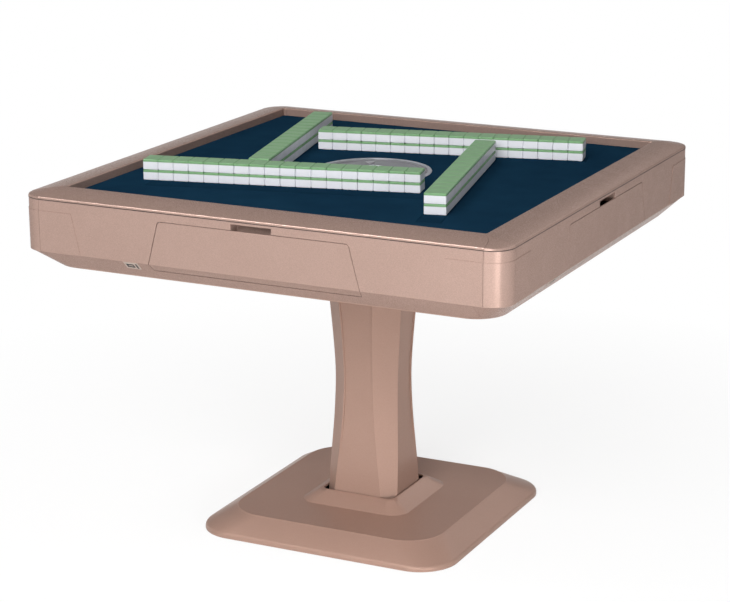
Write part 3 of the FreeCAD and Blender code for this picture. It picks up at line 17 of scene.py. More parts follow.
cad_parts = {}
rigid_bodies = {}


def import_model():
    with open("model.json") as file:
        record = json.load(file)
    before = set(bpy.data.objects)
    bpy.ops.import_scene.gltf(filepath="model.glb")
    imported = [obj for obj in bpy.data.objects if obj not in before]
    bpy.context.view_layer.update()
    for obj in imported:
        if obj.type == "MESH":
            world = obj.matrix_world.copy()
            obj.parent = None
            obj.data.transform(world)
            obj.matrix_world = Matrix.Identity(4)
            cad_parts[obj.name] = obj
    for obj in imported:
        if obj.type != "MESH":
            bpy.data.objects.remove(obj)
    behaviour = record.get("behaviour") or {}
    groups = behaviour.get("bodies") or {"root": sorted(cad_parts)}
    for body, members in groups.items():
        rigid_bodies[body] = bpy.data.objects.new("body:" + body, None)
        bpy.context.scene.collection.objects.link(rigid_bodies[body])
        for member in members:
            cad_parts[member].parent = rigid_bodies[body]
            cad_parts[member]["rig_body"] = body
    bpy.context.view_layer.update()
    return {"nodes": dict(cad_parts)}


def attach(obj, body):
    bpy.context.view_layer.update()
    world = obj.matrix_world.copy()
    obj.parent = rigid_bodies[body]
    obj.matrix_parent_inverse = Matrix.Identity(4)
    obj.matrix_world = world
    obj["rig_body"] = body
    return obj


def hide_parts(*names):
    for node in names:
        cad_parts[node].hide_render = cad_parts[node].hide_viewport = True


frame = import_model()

log = logging.getLogger("mahjong_table")

Colour = tuple[float, float, float, float]
Pair = tuple[float, float]
Triple = tuple[float, float, float]
Box = tuple[float, float, float, float]
Sockets = bpy.types.bpy_prop_collection
Value = NodeSocket | float
MM = 0.001
MERGE = 0.004 * MM
FLAT = math.radians(0.6)
SHARP = math.radians(32.0)
WHITE: Colour = (1.0, 1.0, 1.0, 1.0)
NOISE = (0.3, 0.7)


def shade(*display: float) -> Colour:
    """Turn a colour of 0 to 255 display values into the linear one that a shader takes.

    Args:
        display: Red, green and blue.

    Returns:
        The linear colour with an alpha of 1.
    """
    shares = [value / 255.0 for value in display]
    linear = [share / 12.92 if share <= 0.04045 else ((share + 0.055) / 1.055) ** 2.4 for share in shares]
    return (*linear, 1.0)


class Side(Enum):
    """The four sides of the table, in the order in which they turn about its middle."""

    FRONT = "front"
    RIGHT = "right"
    BACK = "back"
    LEFT = "left"

    @property
    def turn(self) -> float:
        """Angle of the side from the front one, anticlockwise from above."""
        return math.radians(90.0) * list(Side).index(self)

    @property
    def spin(self) -> Matrix:
        """Rotation that takes the front side to this one."""
        return Matrix.Rotation(self.turn, 3, "Z")


class Grain(Enum):
    """Surface texture of a moulded piece: grains in a metre and strength of the relief."""

    POLISHED = (30.0, 0.02)
    SATIN = (700.0, 0.05)
    SPARK = (1400.0, 0.30)
    RUBBER = (500.0, 0.45)


class Graph:
    """A node tree with short calls to add nodes and join them."""

    def __init__(self, tree: NodeTree) -> None:
        """Empty the tree that the calls work on."""
        tree.nodes.clear()
        self.tree = tree

    def add(self, kind: str, values: dict | None = None, **settings) -> Node:
        """Add a node.

        Args:
            kind: Blender's name of the node's type.
            values: Input name or number, with a constant or the socket that feeds it.
            settings: Properties of the node itself.

        Returns:
            The node.
        """
        made = self.tree.nodes.new(kind)
        for name, value in settings.items():
            setattr(made, name, value)
        for key, value in (values or {}).items():
            if isinstance(value, NodeSocket):
                self.tree.links.new(value, made.inputs[key])
            else:
                made.inputs[key].default_value = value
        return made

    def sum(self, operation: str, first: Value, second: Value = 0.0) -> NodeSocket:
        """Result of one Math node on two numbers."""
        return self.add("ShaderNodeMath", {0: first, 1: second}, operation=operation).outputs[0]

    def largest(self, *values: Value) -> NodeSocket:
        """Largest of several numbers."""
        return reduce(lambda first, second: self.sum("MAXIMUM", first, second), values)

    def mix(self, share: Value, first: NodeSocket | Colour, second: NodeSocket | Colour) -> NodeSocket:
        """Colour between two, by a share."""
        rows = {0: share, 6: first, 7: second}
        return self.add("ShaderNodeMix", rows, data_type="RGBA").outputs[2]

    def blend(self, first: Value, second: Value, share: float) -> NodeSocket:
        """Sum of a share of one number and the rest of another."""
        part = self.sum("MULTIPLY", first, share)
        return self.sum("ADD", part, self.sum("MULTIPLY", second, 1.0 - share))

    def add_part(self, base: Value, value: Value, amount: Value) -> NodeSocket:
        """A number with a part of another added."""
        return self.sum("ADD", base, self.sum("MULTIPLY", value, amount))

    def spread(self, value: Value, low: float, high: float, start: float = 0.0,
               end: float = 1.0) -> NodeSocket:
        """A number from the range start to end, moved to the range low to high."""
        rows = {0: value, 1: start, 2: end, 3: low, 4: high}
        return self.add("ShaderNodeMapRange", rows).outputs[0]

    def stretched(self, place: NodeSocket, scales: NodeSocket | Triple) -> NodeSocket:
        """A place with each of its axes scaled."""
        return self.add("ShaderNodeMapping", {0: place, 3: scales}).outputs[0]

    def noise(self, place: NodeSocket, scale: Value, detail: float = 2.0,
              roughness: float = 0.5) -> NodeSocket:
        """Value of a noise texture at a place."""
        rows = {"Vector": place, "Scale": scale, "Detail": detail, "Roughness": roughness}
        return self.add("ShaderNodeTexNoise", rows).outputs[0]


class Effect:
    """A shader node group that several finishes place with their own values."""

    def __init__(self, *outputs: str, **inputs) -> None:
        """Keep the names of the outputs, and of the inputs with their defaults, or None for a place."""
        self.outputs, self.inputs = outputs, inputs

    def __call__(self, build: Callable) -> "Effect":
        """Take the function that gets a Graph and the input sockets, and returns the output sockets."""
        self.build = build
        return self

    @cached_property
    def tree(self) -> NodeTree:
        """Make the group at its first use, with colours for the outputs whose name ends in Colour.

        Returns:
            The node group.
        """
        tree = bpy.data.node_groups.new(self.build.__name__, "ShaderNodeTree")
        for label, value in self.inputs.items():
            kind = "NodeSocketVector" if value is None else "NodeSocketFloat"
            kind = "NodeSocketColor" if isinstance(value, tuple) else kind
            made = tree.interface.new_socket(name=label, in_out="INPUT", socket_type=kind)
            if value is not None:
                made.default_value = value
        for label in self.outputs:
            kind = "NodeSocketColor" if label.endswith("Colour") else "NodeSocketFloat"
            tree.interface.new_socket(name=label, in_out="OUTPUT", socket_type=kind)
        graph = Graph(tree)
        results = self.build(graph, graph.add("NodeGroupInput").outputs)
        graph.add("NodeGroupOutput", dict(zip(self.outputs, results)))
        return tree


@Effect("Colour", Place=None, Colour=WHITE, Second=WHITE, Scale=4.0, Amount=1.0)
def tone_drift(graph: Graph, given: Sockets) -> list[NodeSocket]:
    """Slow change between two tones, from a wide noise and a narrower one.

    Args:
        graph: Graph of the group.
        given: Its input sockets.

    Returns:
        Its output sockets.
    """
    near_scale, wide_share = 6.0, 0.65
    wide = graph.noise(given["Place"], given["Scale"], 2.0)
    near = graph.noise(given["Place"], graph.sum("MULTIPLY", given["Scale"], near_scale), 3.0)
    both = graph.spread(graph.blend(wide, near, wide_share), 0.0, 1.0, *NOISE)
    return [graph.mix(graph.sum("MULTIPLY", both, given["Amount"]), given["Colour"], given["Second"])]


@Effect("Colour", "Rough", "Height", Place=None, Colour=WHITE, Glint=WHITE, Scale=1200.0, Amount=0.22,
        Rough=0.35, Waves=260.0)
def metal_flake(graph: Graph, given: Sockets) -> list[NodeSocket]:
    """Flakes of random tone, a little rougher where they are dark, and a lacquer's slow waves.

    Args:
        graph: Graph of the group.
        given: Its input sockets.

    Returns:
        Its output sockets.
    """
    middle, dulling = 0.5, 0.04
    cells = graph.add("ShaderNodeTexVoronoi", {"Vector": given["Place"], "Scale": given["Scale"]})
    tone = graph.add("ShaderNodeSeparateColor", {0: cells.outputs["Color"]}).outputs[0]
    colour = graph.mix(graph.sum("MULTIPLY", tone, given["Amount"]), given["Colour"], given["Glint"])
    rough = graph.add_part(given["Rough"], graph.sum("SUBTRACT", middle, tone), dulling)
    return [colour, rough, graph.noise(given["Place"], given["Waves"], 1.0)]


@Effect("Rough", "Mask", Place=None, Rough=0.35, Scale=14.0, Amount=0.06)
def handling_marks(graph: Graph, given: Sockets) -> list[NodeSocket]:
    """Faint smears of hands and cloths that change the roughness, with a few fine hairlines.

    Args:
        graph: Graph of the group.
        given: Its input sockets.

    Returns:
        Its output sockets.
    """
    smears, hairs, smear_share, stretch = (0.45, 0.7), (0.68, 0.74), 0.7, (180.0, 9.0, 180.0)
    smear = graph.spread(graph.noise(given["Place"], given["Scale"], 4.0, 0.6), 0.0, 1.0, *smears)
    hair = graph.spread(graph.noise(graph.stretched(given["Place"], stretch), 1.0, 1.0), 0.0, 1.0, *hairs)
    mask = graph.blend(smear, hair, smear_share)
    return [graph.add_part(given["Rough"], mask, given["Amount"]), mask]


@Effect("Rough", "Height", Place=None, Rough=0.5, Scale=800.0)
def moulded_grain(graph: Graph, given: Sockets) -> list[NodeSocket]:
    """Fine relief of a mould's spark grain, with a roughness that follows it.

    Args:
        graph: Graph of the group.
        given: Its input sockets.

    Returns:
        Its output sockets.
    """
    rise = 0.05
    height = graph.noise(given["Place"], given["Scale"], 3.0, 0.6)
    return [graph.sum("ADD", given["Rough"], graph.spread(height, -rise, rise, *NOISE)), height]


@Effect("Colour", "Rough", "Height", Place=None, Stretch=None, Colour=WHITE, Second=WHITE, Rough=0.3)
def brushed_metal(graph: Graph, given: Sockets) -> list[NodeSocket]:
    """Drawn or brushed lines: noise that is stretched along one way of the piece.

    Args:
        graph: Graph of the group.
        given: Its input sockets.

    Returns:
        Its output sockets.
    """
    rise, lines = 0.07, (0.35, 0.65)
    height = graph.noise(graph.stretched(given["Place"], given["Stretch"]), 1.0, 3.0, 0.7)
    tone = graph.mix(graph.spread(height, 0.0, 1.0, *lines), given["Colour"], given["Second"])
    return [tone, graph.sum("ADD", given["Rough"], graph.spread(height, -rise, rise, *NOISE)), height]


class Skin:
    """One material under way: its graph, its Principled shader and its Object coordinates."""

    def __init__(self, name: str, constants: dict) -> None:
        """Start a material.

        Args:
            name: Name of the material.
            constants: Shader inputs that are the same all over the surface.
        """
        self.material = bpy.data.materials.new(name)
        self.material.use_nodes = True
        self.graph = Graph(self.material.node_tree)
        self.shader = self.graph.add("ShaderNodeBsdfPrincipled", constants)
        self.graph.add("ShaderNodeOutputMaterial", {"Surface": self.shader.outputs[0]})
        self.place = self.graph.add("ShaderNodeTexCoord").outputs["Object"]

    def effect(self, group: Effect, **values) -> Sockets:
        """Outputs of an effect that is placed in the material, at the piece's own coordinates."""
        rows = {"Place": self.place, **values}
        return self.graph.add("ShaderNodeGroup", rows, node_tree=group.tree).outputs

    def feed(self, **sockets: NodeSocket) -> None:
        """Join sockets to the shader's inputs, with an underscore for each space in a name."""
        for name, socket in sockets.items():
            self.graph.tree.links.new(socket, self.shader.inputs[name.replace("_", " ")])

    def relief(self, height: NodeSocket, strength: float, depth: float) -> None:
        """Give the surface a relief of a depth in metres, of which a share, its strength, shows."""
        rows = {"Height": height, "Strength": strength, "Distance": depth}
        self.feed(Normal=self.graph.add("ShaderNodeBump", rows).outputs[0])


@dataclass(frozen=True)
class Finish:
    """A finish of two tones. They drift into each other where the kind of finish has waves."""

    name: str
    colour: Colour
    second: Colour

    def drift(self, skin: Skin) -> NodeSocket:
        """Tone of the finish at each place."""
        return skin.effect(tone_drift, Colour=self.colour, Second=self.second, Scale=self.waves)["Colour"]


@dataclass(frozen=True)
class SatinPaint(Finish):
    """Satin lacquer with fine metal flakes."""

    glint: Colour
    metallic: float = 0.2
    rough: float = 0.27
    coat: float = 0.03
    gloss: float = 0.03
    flake: float = 1300.0
    coat_rough: float = 0.16
    waves: float = 2.2
    wear: float = 0.02
    relief: Pair = (0.07, 0.04 * MM)

    def material(self) -> Material:
        """Build the finish.

        Returns:
            The material.
        """
        skin = Skin(self.name, {"Metallic": self.metallic, "Coat Weight": self.coat,
                                "Coat Roughness": self.coat_rough, "Specular IOR Level": self.gloss,
                                "Specular Tint": self.glint})
        tone = self.drift(skin)
        marks = skin.effect(handling_marks, Rough=self.rough, Amount=self.wear)
        flake = skin.effect(metal_flake, Colour=tone, Glint=self.glint, Scale=self.flake,
                            Rough=marks["Rough"])
        skin.feed(Base_Color=flake["Colour"], Roughness=flake["Rough"])
        skin.relief(flake["Height"], *self.relief)
        return skin.material


@dataclass(frozen=True)
class Moulding(Finish):
    """Moulded plastic or rubber."""

    rough: float = 0.45
    grain: Grain = Grain.SATIN
    coat: float = 0.0
    coat_rough: float = 0.15
    waves: float = 9.0
    smears: float = 30.0
    depth: float = 0.1 * MM

    def material(self) -> Material:
        """Build the finish.

        Returns:
            The material.
        """
        skin = Skin(self.name, {"Coat Weight": self.coat, "Coat Roughness": self.coat_rough})
        tone = self.drift(skin)
        scale, strength = self.grain.value
        grain = skin.effect(moulded_grain, Rough=self.rough, Scale=scale)
        marks = skin.effect(handling_marks, Rough=grain["Rough"], Scale=self.smears)
        skin.feed(Base_Color=tone, Roughness=marks["Rough"])
        skin.relief(grain["Height"], strength, self.depth)
        return skin.material


@dataclass(frozen=True)
class BareMetal(Finish):
    """Drawn, brushed or zinc-plated metal."""

    rough: float
    stretch: Triple
    smears: float = 22.0
    relief: Pair = (0.1, 0.05 * MM)

    def material(self) -> Material:
        """Build the finish.

        Returns:
            The material.
        """
        skin = Skin(self.name, {"Metallic": 1.0})
        lines = skin.effect(brushed_metal, Colour=self.colour, Second=self.second, Rough=self.rough,
                            Stretch=self.stretch)
        marks = skin.effect(handling_marks, Rough=lines["Rough"], Scale=self.smears)
        skin.feed(Base_Color=lines["Colour"], Roughness=marks["Rough"])
        skin.relief(lines["Height"], *self.relief)
        return skin.material


@dataclass(frozen=True)
class Baize(Finish):
    """Close woven cloth with a short nap."""

    thread: float = 0.9 * MM
    sheen: float = 0.03
    sheen_rough: float = 0.45
    waves: float = 3.0
    nap: float = 2200.0
    weave: float = 0.35
    fleck: float = 0.25
    rough: Pair = (0.86, 0.98)
    relief: Pair = (0.5, 0.25 * MM)

    def material(self) -> Material:
        """Build the finish.

        Returns:
            The material.
        """
        skin = Skin(self.name, {"Sheen Weight": self.sheen, "Sheen Roughness": self.sheen_rough,
                                "Sheen Tint": self.second, "Specular IOR Level": 0.0})
        graph = skin.graph
        threads = graph.add("ShaderNodeSeparateXYZ", {0: skin.place}).outputs
        across, along = (graph.sum("SINE", graph.sum("MULTIPLY", threads[axis], math.tau / self.thread))
                         for axis in (0, 1))
        nap = graph.noise(skin.place, self.nap, 3.0, 0.7)
        height = graph.add_part(nap, graph.sum("MULTIPLY", across, along), self.weave)
        share = graph.spread(nap, 0.0, self.fleck, 0.4, 0.75)
        fleck = graph.mix(share, self.drift(skin), self.second)
        skin.feed(Base_Color=fleck, Roughness=graph.spread(nap, *self.rough, *NOISE))
        skin.relief(height, *self.relief)
        return skin.material


@dataclass(frozen=True)
class TileResin(Finish):
    """Polished, slightly cloudy resin of the tiles."""

    rough: float = 0.34
    waves: float = 40.0
    smears: float = 60.0
    wear: float = 0.06
    relief: Pair = (0.02, 0.02 * MM)

    def constants(self) -> dict:
        """Shader inputs that are the same all over the surface."""
        return {"Subsurface Weight": 0.08, "Subsurface Radius": (1.0, 1.0, 1.0), "Subsurface Scale": 1.5 * MM,
                "Specular IOR Level": 0.16, "Coat Weight": 0.03, "Coat Roughness": 0.12}

    def material(self) -> Material:
        """Build the finish.

        Returns:
            The material.
        """
        skin = Skin(self.name, self.constants())
        tone = self.drift(skin)
        marks = skin.effect(handling_marks, Rough=self.rough, Scale=self.smears, Amount=self.wear)
        skin.feed(Base_Color=tone, Roughness=marks["Rough"])
        skin.relief(marks["Mask"], *self.relief)
        return skin.material


@dataclass(frozen=True)
class ClearMoulding(TileResin):
    """Clear polished plastic."""

    rough: float = 0.05
    waves: float = 12.0
    smears: float = 40.0
    wear: float = 0.12
    relief: Pair = (0.03, 0.05 * MM)

    def constants(self) -> dict:
        """Shader inputs that are the same all over the surface."""
        return {"Transmission Weight": 0.92, "IOR": 1.46}


@dataclass(frozen=True)
class Fibreboard(Finish):
    """Pressed wood board under the cloth."""

    gloss: float = 0.3
    fibre: Triple = (300.0, 900.0, 2400.0)
    waves: float = 8.0
    speck: Pair = (0.35, 0.7)
    rough: Pair = (0.7, 0.9)
    relief: Pair = (0.3, 0.15 * MM)

    def material(self) -> Material:
        """Build the finish.

        Returns:
            The material.
        """
        skin = Skin(self.name, {"Specular IOR Level": self.gloss})
        graph = skin.graph
        height = graph.noise(graph.stretched(skin.place, self.fibre), 1.0, 4.0, 0.65)
        share = graph.spread(height, 0.0, 0.5, *self.speck)
        tone = graph.mix(share, self.drift(skin), self.second)
        skin.feed(Base_Color=tone, Roughness=graph.spread(height, *self.rough, *NOISE))
        skin.relief(height, *self.relief)
        return skin.material


CASE_PAINT = SatinPaint("case_satin_champagne", shade(167, 140, 129), shade(161, 134, 123),
                        shade(190, 168, 158))
# The pedestal and the foot take lighter copies of the case's champagne paint: painted light that makes up for
# the shade they get under the case.
PEDESTAL_LIGHTENED_PAINT = SatinPaint("pedestal_champagne_lightened", shade(173, 142, 128), shade(167, 136, 122),
                            shade(193, 166, 153), rough=0.36, gloss=0.16)
FOOT_LIGHTENED_PAINT = SatinPaint("foot_champagne_lightened", shade(176, 144, 130), shade(170, 138, 124),
                        shade(190, 164, 150), metallic=0.1, rough=0.38, gloss=0.35)
CLOTH = Baize("navy_baize", shade(19, 46, 68), shade(27, 60, 83))
TILE_BACK = TileResin("tile_back_green", shade(130, 175, 127), shade(124, 169, 121))
TILE_BODY = TileResin("tile_body_white", shade(242, 243, 248), shade(237, 238, 244))
RING = BareMetal("ring_satin_silver", shade(198, 194, 204), shade(182, 178, 190), 0.32, (900.0, 900.0, 60.0))
DISC = Moulding("disc_pearl_grey", shade(126, 124, 130), shade(119, 116, 124), 0.4, coat=0.08)
DOME = ClearMoulding("dome_clear", shade(250, 250, 252), shade(242, 244, 248))
BUTTONS = Moulding("button_grey", shade(150, 144, 152), shade(140, 134, 142), 0.35, Grain.POLISHED, 0.4)
DIE_BODY = TileResin("die_ivory", shade(240, 236, 226), shade(232, 228, 218))
DIE_PIPS = Moulding("die_pip_black", shade(26, 24, 26), shade(34, 30, 32), 0.4, Grain.POLISHED)
SOCKET = Moulding("socket_beige", shade(184, 166, 154), shade(176, 158, 146), 0.45)
# Dark umber strip under the top frame: painted shade of the seam gap, not a part's own colour.
SEAM_SHADE = Moulding("seam_painted_shade_umber", shade(58, 46, 44), shade(68, 54, 50), 0.8, Grain.RUBBER)
TRAY = Moulding("tray_charcoal", shade(52, 50, 52), shade(60, 57, 58), 0.55, Grain.SPARK)
LIFT = Baize("lift_plate_flock", shade(17, 42, 62), shade(24, 55, 77), 0.6 * MM)
TURNTABLE = Moulding("turntable_ivory", shade(222, 218, 206), shade(212, 208, 196), 0.4)
BLACK = Moulding("black_moulding", shade(30, 30, 32), shade(40, 39, 41), 0.5, Grain.SPARK)
RUBBER = Moulding("black_rubber", shade(26, 25, 26), shade(36, 34, 35), 0.75, Grain.RUBBER)
STEEL = BareMetal("zinc_plated_steel", shade(176, 178, 180), shade(156, 158, 160), 0.38, (80.0, 80.0, 700.0))
BRIGHT = BareMetal("bright_steel", shade(206, 207, 208), shade(188, 189, 190), 0.2, (60.0, 60.0, 1600.0))
BOARD = Fibreboard("pressed_board", shade(136, 108, 80), shade(112, 86, 62))


@cache
def material_of(finish: Finish) -> Material:
    """Material of a finish, made at its first use."""
    return finish.material()


@dataclass(frozen=True)
class Edge:
    """How far and how finely the sharp edges of a shell are rounded."""

    width: float
    segments: int = 2
    angle: float = SHARP


def cad_copy(node: str) -> BMesh:
    """Copy a CAD node's mesh, merged and with its flat faces joined.

    Args:
        node: Name of the CAD node.

    Returns:
        A new bmesh.
    """
    bm = bmesh.new()
    bm.from_mesh(frame["nodes"][node].data)
    bmesh.ops.remove_doubles(bm, verts=bm.verts, dist=MERGE)
    bmesh.ops.dissolve_limit(bm, angle_limit=FLAT, verts=bm.verts, edges=bm.edges)
    return bm


def soften(bm: BMesh, edge: Edge, keep: Callable | None = None) -> None:
    """Round the sharp edges of a mesh.

    Args:
        bm: The mesh.
        edge: Width, segments and least angle of the rounding.
        keep: Test of an edge that is to be rounded, or None for all sharp ones.
    """
    bm.normal_update()
    sharp = [e for e in bm.edges if e.is_manifold and e.calc_face_angle(0.0) > edge.angle
             and (keep is None or keep(e))]
    bmesh.ops.bevel(bm, geom=sharp, offset=edge.width, offset_type="OFFSET", segments=edge.segments,
                    profile=0.5, affect="EDGES", clamp_overlap=True, material=-1)


def piece_of(bm: BMesh, name: str, body: str, finishes: list[Finish],
             replaces: tuple[str, ...] = ()) -> Object:
    """Make an object of a mesh, with its materials, body and replaced nodes.

    Args:
        bm: The mesh, which is freed.
        name: Name of the piece.
        body: CAD body that it rides on.
        finishes: Its finishes, in the order of the faces' material numbers.
        replaces: CAD nodes that it stands for.

    Returns:
        The object.
    """
    bm.normal_update()
    for face in bm.faces:
        face.smooth = True
    for line in bm.edges:
        line.smooth = line.calc_face_angle(math.pi) < SHARP if line.is_manifold else False
    mesh = bpy.data.meshes.new(name)
    bm.to_mesh(mesh)
    bm.free()
    made = bpy.data.objects.new(name, mesh)
    bpy.context.scene.collection.objects.link(made)
    for finish in finishes:
        mesh.materials.append(material_of(finish))
    made.modifiers.new("flat_faces", "WEIGHTED_NORMAL").keep_sharp = True
    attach(made, body)
    if replaces:
        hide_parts(*replaces)
    log.info("%s: %d faces on %s", name, len(mesh.polygons), body)
    return made


def blocks_of(node: str) -> list[tuple[Vector, float]]:
    """Find the separate blocks of a CAD node.

    Args:
        node: Name of the CAD node.

    Returns:
        Middle and height of each block, from the lowest, then along X and Y.
    """
    bm = cad_copy(node)
    left, found = set(bm.verts), []
    while left:
        block, front = set(), [left.pop()]
        while front:
            vert = front.pop()
            block.add(vert)
            for line in vert.link_edges:
                other = line.other_vert(vert)
                if other in left:
                    left.discard(other)
                    front.append(other)
        low, high = (Vector([pick(v.co[i] for v in block) for i in range(3)]) for pick in (min, max))
        found.append(((low + high) / 2, high.z - low.z))
    bm.free()
    return sorted(found, key=lambda row: tuple(round(row[0][i], 4) for i in (2, 0, 1)))


def add_copies(target: BMesh, source: BMesh, places: list[Matrix]) -> None:
    """Add a copy of one mesh to another at each place.

    Args:
        target: Mesh that gets the copies.
        source: Mesh to copy, which is freed.
        places: Where the copies go.
    """
    for place in places:
        one = bpy.data.meshes.new("copy")
        source.to_mesh(one)
        one.transform(place)
        target.from_mesh(one)
        bpy.data.meshes.remove(one)
    source.free()


def body_of(node: str) -> str:
    """CAD body that a node rides on."""
    return frame["nodes"][node]["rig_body"]


def dress(finish: Finish, *nodes: str) -> None:
    """Give CAD nodes a finish in place of their plain one.

    Args:
        finish: The finish.
        nodes: Names of the CAD nodes.
    """
    for node in nodes:
        data = frame["nodes"][node].data
        data.materials.clear()
        data.materials.append(material_of(finish))
        log.info("%s: %s", node, finish.name)


def softened(node: str, finish: Finish, edge: Edge) -> Object:
    """Replace a CAD node by a copy whose sharp edges are rounded.

    Args:
        node: Name of the CAD node.
        finish: Its finish.
        edge: Rounding of its edges.

    Returns:
        The new piece.
    """
    bm = cad_copy(node)
    soften(bm, edge)
    return piece_of(bm, node + "_shell", body_of(node), [finish], (node,))


@dataclass
class CaseShell:
    """Side panels, corner covers, drawer fronts, floor and charging sockets of the case."""

    panel_edge: Edge = Edge(0.35 * MM)
    front_edge: Edge = Edge(0.8 * MM)
    socket_edge: Edge = Edge(0.25 * MM)
    bezel_edge: Edge = Edge(0.35 * MM)
    lining_bend: Edge = Edge(2.0 * MM, 3)
    facing_up: float = 0.99
    facing_out: float = 0.9
    half: float = 490.0 * MM
    corner: float = 42.0 * MM
    corner_segments: int = 12
    seam: float = 710.0 * MM
    insert_reach: float = 60.0 * MM
    # Set-in, depth and height of the dark strip that paints the seam's shade.
    shade_strip_set_in: float = 0.35 * MM
    shade_strip_depth: float = 1.2 * MM
    shade_strip_height: float = 1.8 * MM
    pull_half: float = 41.0 * MM
    pull_foot: float = 685.4 * MM
    pull_head: float = 703.2 * MM
    pull_front: float = 486.2 * MM
    pull_back: float = 466.0 * MM
    lining: float = 0.8 * MM
    socket_depth: float = 14.0 * MM
    socket_lean: float = math.radians(135.0)
    bezel: Triple = (31.0 * MM, 21.0 * MM, 0.9 * MM)
    bezel_sink: float = 0.65 * MM
    mouth: Box = (-11.6 * MM, 4.4 * MM, -5.6 * MM, 5.6 * MM)
    tongue: Box = (-8.0 * MM, 1.6 * MM, -1.6 * MM, 1.6 * MM)
    slit: Box = (8.2 * MM, 11.8 * MM, -8.0 * MM, 8.0 * MM)

    def socket(self) -> BMesh:
        """Bezel of a charging socket about the middle of its face, with a mouth, its tongue and a slit.

        Returns:
            A new bmesh that looks up, with its dark faces in material number 1: painted shade of the deep
            mouth and slit.
        """
        width, height, thick = self.bezel
        bm = bmesh.new()
        bmesh.ops.create_cube(bm, size=1.0)
        place = Matrix.Translation((0.0, 0.0, thick / 2)) @ Matrix.Diagonal((width, height, thick, 1.0))
        bmesh.ops.transform(bm, matrix=place, verts=bm.verts)
        soften(bm, self.bezel_edge)
        for box in (self.mouth, self.tongue, self.slit):
            for normal, reach in zip(((1, 0, 0), (1, 0, 0), (0, 1, 0), (0, 1, 0)), box):
                top = [face for face in bm.faces if face.normal.z > self.facing_up]
                lines = {line for face in top for line in face.edges}
                verts = {vert for line in lines for vert in line.verts}
                bmesh.ops.bisect_plane(bm, geom=[*verts, *lines, *top], dist=MERGE,
                                       plane_co=Vector(normal) * reach, plane_no=normal)

        def inside(face: BMFace, box: Box) -> bool:
            """Whether an upper face lies in a box."""
            x, y, _ = face.calc_center_median()
            return face.normal.z > self.facing_up and box[0] < x < box[1] and box[2] < y < box[3]

        # The sunk faces of the mouth and the slit take material number 1, black: painted shade of openings
        # far deeper than this shallow sink.
        for box, island in ((self.mouth, self.tongue), (self.slit, None)):
            sunk = [face for face in bm.faces if inside(face, box) and not (island and inside(face, island))]
            made = bmesh.ops.extrude_face_region(bm, geom=sunk)["geom"]
            verts = [item for item in made if isinstance(item, BMVert)]
            bmesh.ops.translate(bm, vec=(0.0, 0.0, -self.bezel_sink), verts=verts)
            bmesh.ops.delete(bm, geom=[face for face in sunk if face.is_valid], context="FACES")
            for face in {face for vert in verts for face in vert.link_faces}:
                face.material_index = 1
        bmesh.ops.recalc_face_normals(bm, faces=bm.faces)
        return bm

    def sockets(self) -> None:
        """Soften the bodies of the charging sockets, and set a bezel on the face of each."""
        bm = cad_copy("charging_sockets")
        soften(bm, self.socket_edge)
        lean = Matrix.Rotation(self.socket_lean, 4, "X")
        places = []
        for middle, _ in blocks_of("charging_sockets"):
            side = max(Side, key=lambda side: -(side.spin.transposed() @ middle).y)
            turn = side.spin.to_4x4() @ lean
            face = middle + turn.to_3x3() @ Vector((0.0, 0.0, self.socket_depth / 2))
            places.append(Matrix.Translation(face) @ turn)
        add_copies(bm, self.socket(), places)
        # The black moulding in material number 1 paints the shade inside the mouths and slits.
        piece_of(bm, "charging_sockets_shell", "root", [SOCKET, BLACK],
                 ("charging_sockets",))

    def panel(self, side: Side) -> None:
        """Join the panel with the insert round its pull, take out the faces between, and soften both.

        Args:
            side: Side of the table.
        """
        node = f"side_panel_{side.value}"
        bm = cad_copy(node)
        across = side.spin @ Vector((1.0, 0.0, 0.0))
        inner = [face for face in bm.faces
                 if all(abs(abs(vert.co.dot(across)) - self.insert_reach) < MERGE for vert in face.verts)]
        bmesh.ops.delete(bm, geom=inner, context="FACES")
        bmesh.ops.dissolve_limit(bm, angle_limit=FLAT, verts=bm.verts, edges=bm.edges)
        soften(bm, self.panel_edge)
        piece_of(bm, node + "_shell", body_of(node), [CASE_PAINT], (node,))

    def pull_lining(self, side: Side) -> None:
        """Bend the lining behind a pull: a ceiling, a back and two ends, open to the front and below.

        Args:
            side: Side of the table.
        """
        bm = bmesh.new()
        bmesh.ops.create_cube(bm, size=1.0)
        size = (2 * self.pull_half, self.pull_front - self.pull_back, self.pull_head - self.pull_foot)
        middle = (0.0, -(self.pull_front + self.pull_back) / 2, (self.pull_head + self.pull_foot) / 2)
        place = Matrix.Translation(middle) @ Matrix.Diagonal((*size, 1.0))
        bmesh.ops.transform(bm, matrix=place, verts=bm.verts)
        bm.normal_update()
        open_faces = [face for face in bm.faces if min(face.normal.y, face.normal.z) < -self.facing_out]
        bmesh.ops.delete(bm, geom=open_faces, context="FACES")
        soften(bm, self.lining_bend)
        bmesh.ops.solidify(bm, geom=bm.faces[:], thickness=-self.lining)
        bmesh.ops.rotate(bm, cent=(0.0, 0.0, 0.0), matrix=side.spin, verts=bm.verts)
        bmesh.ops.recalc_face_normals(bm, faces=bm.faces)
        piece_of(bm, f"pull_lining_{side.value}", "root", [CASE_PAINT])

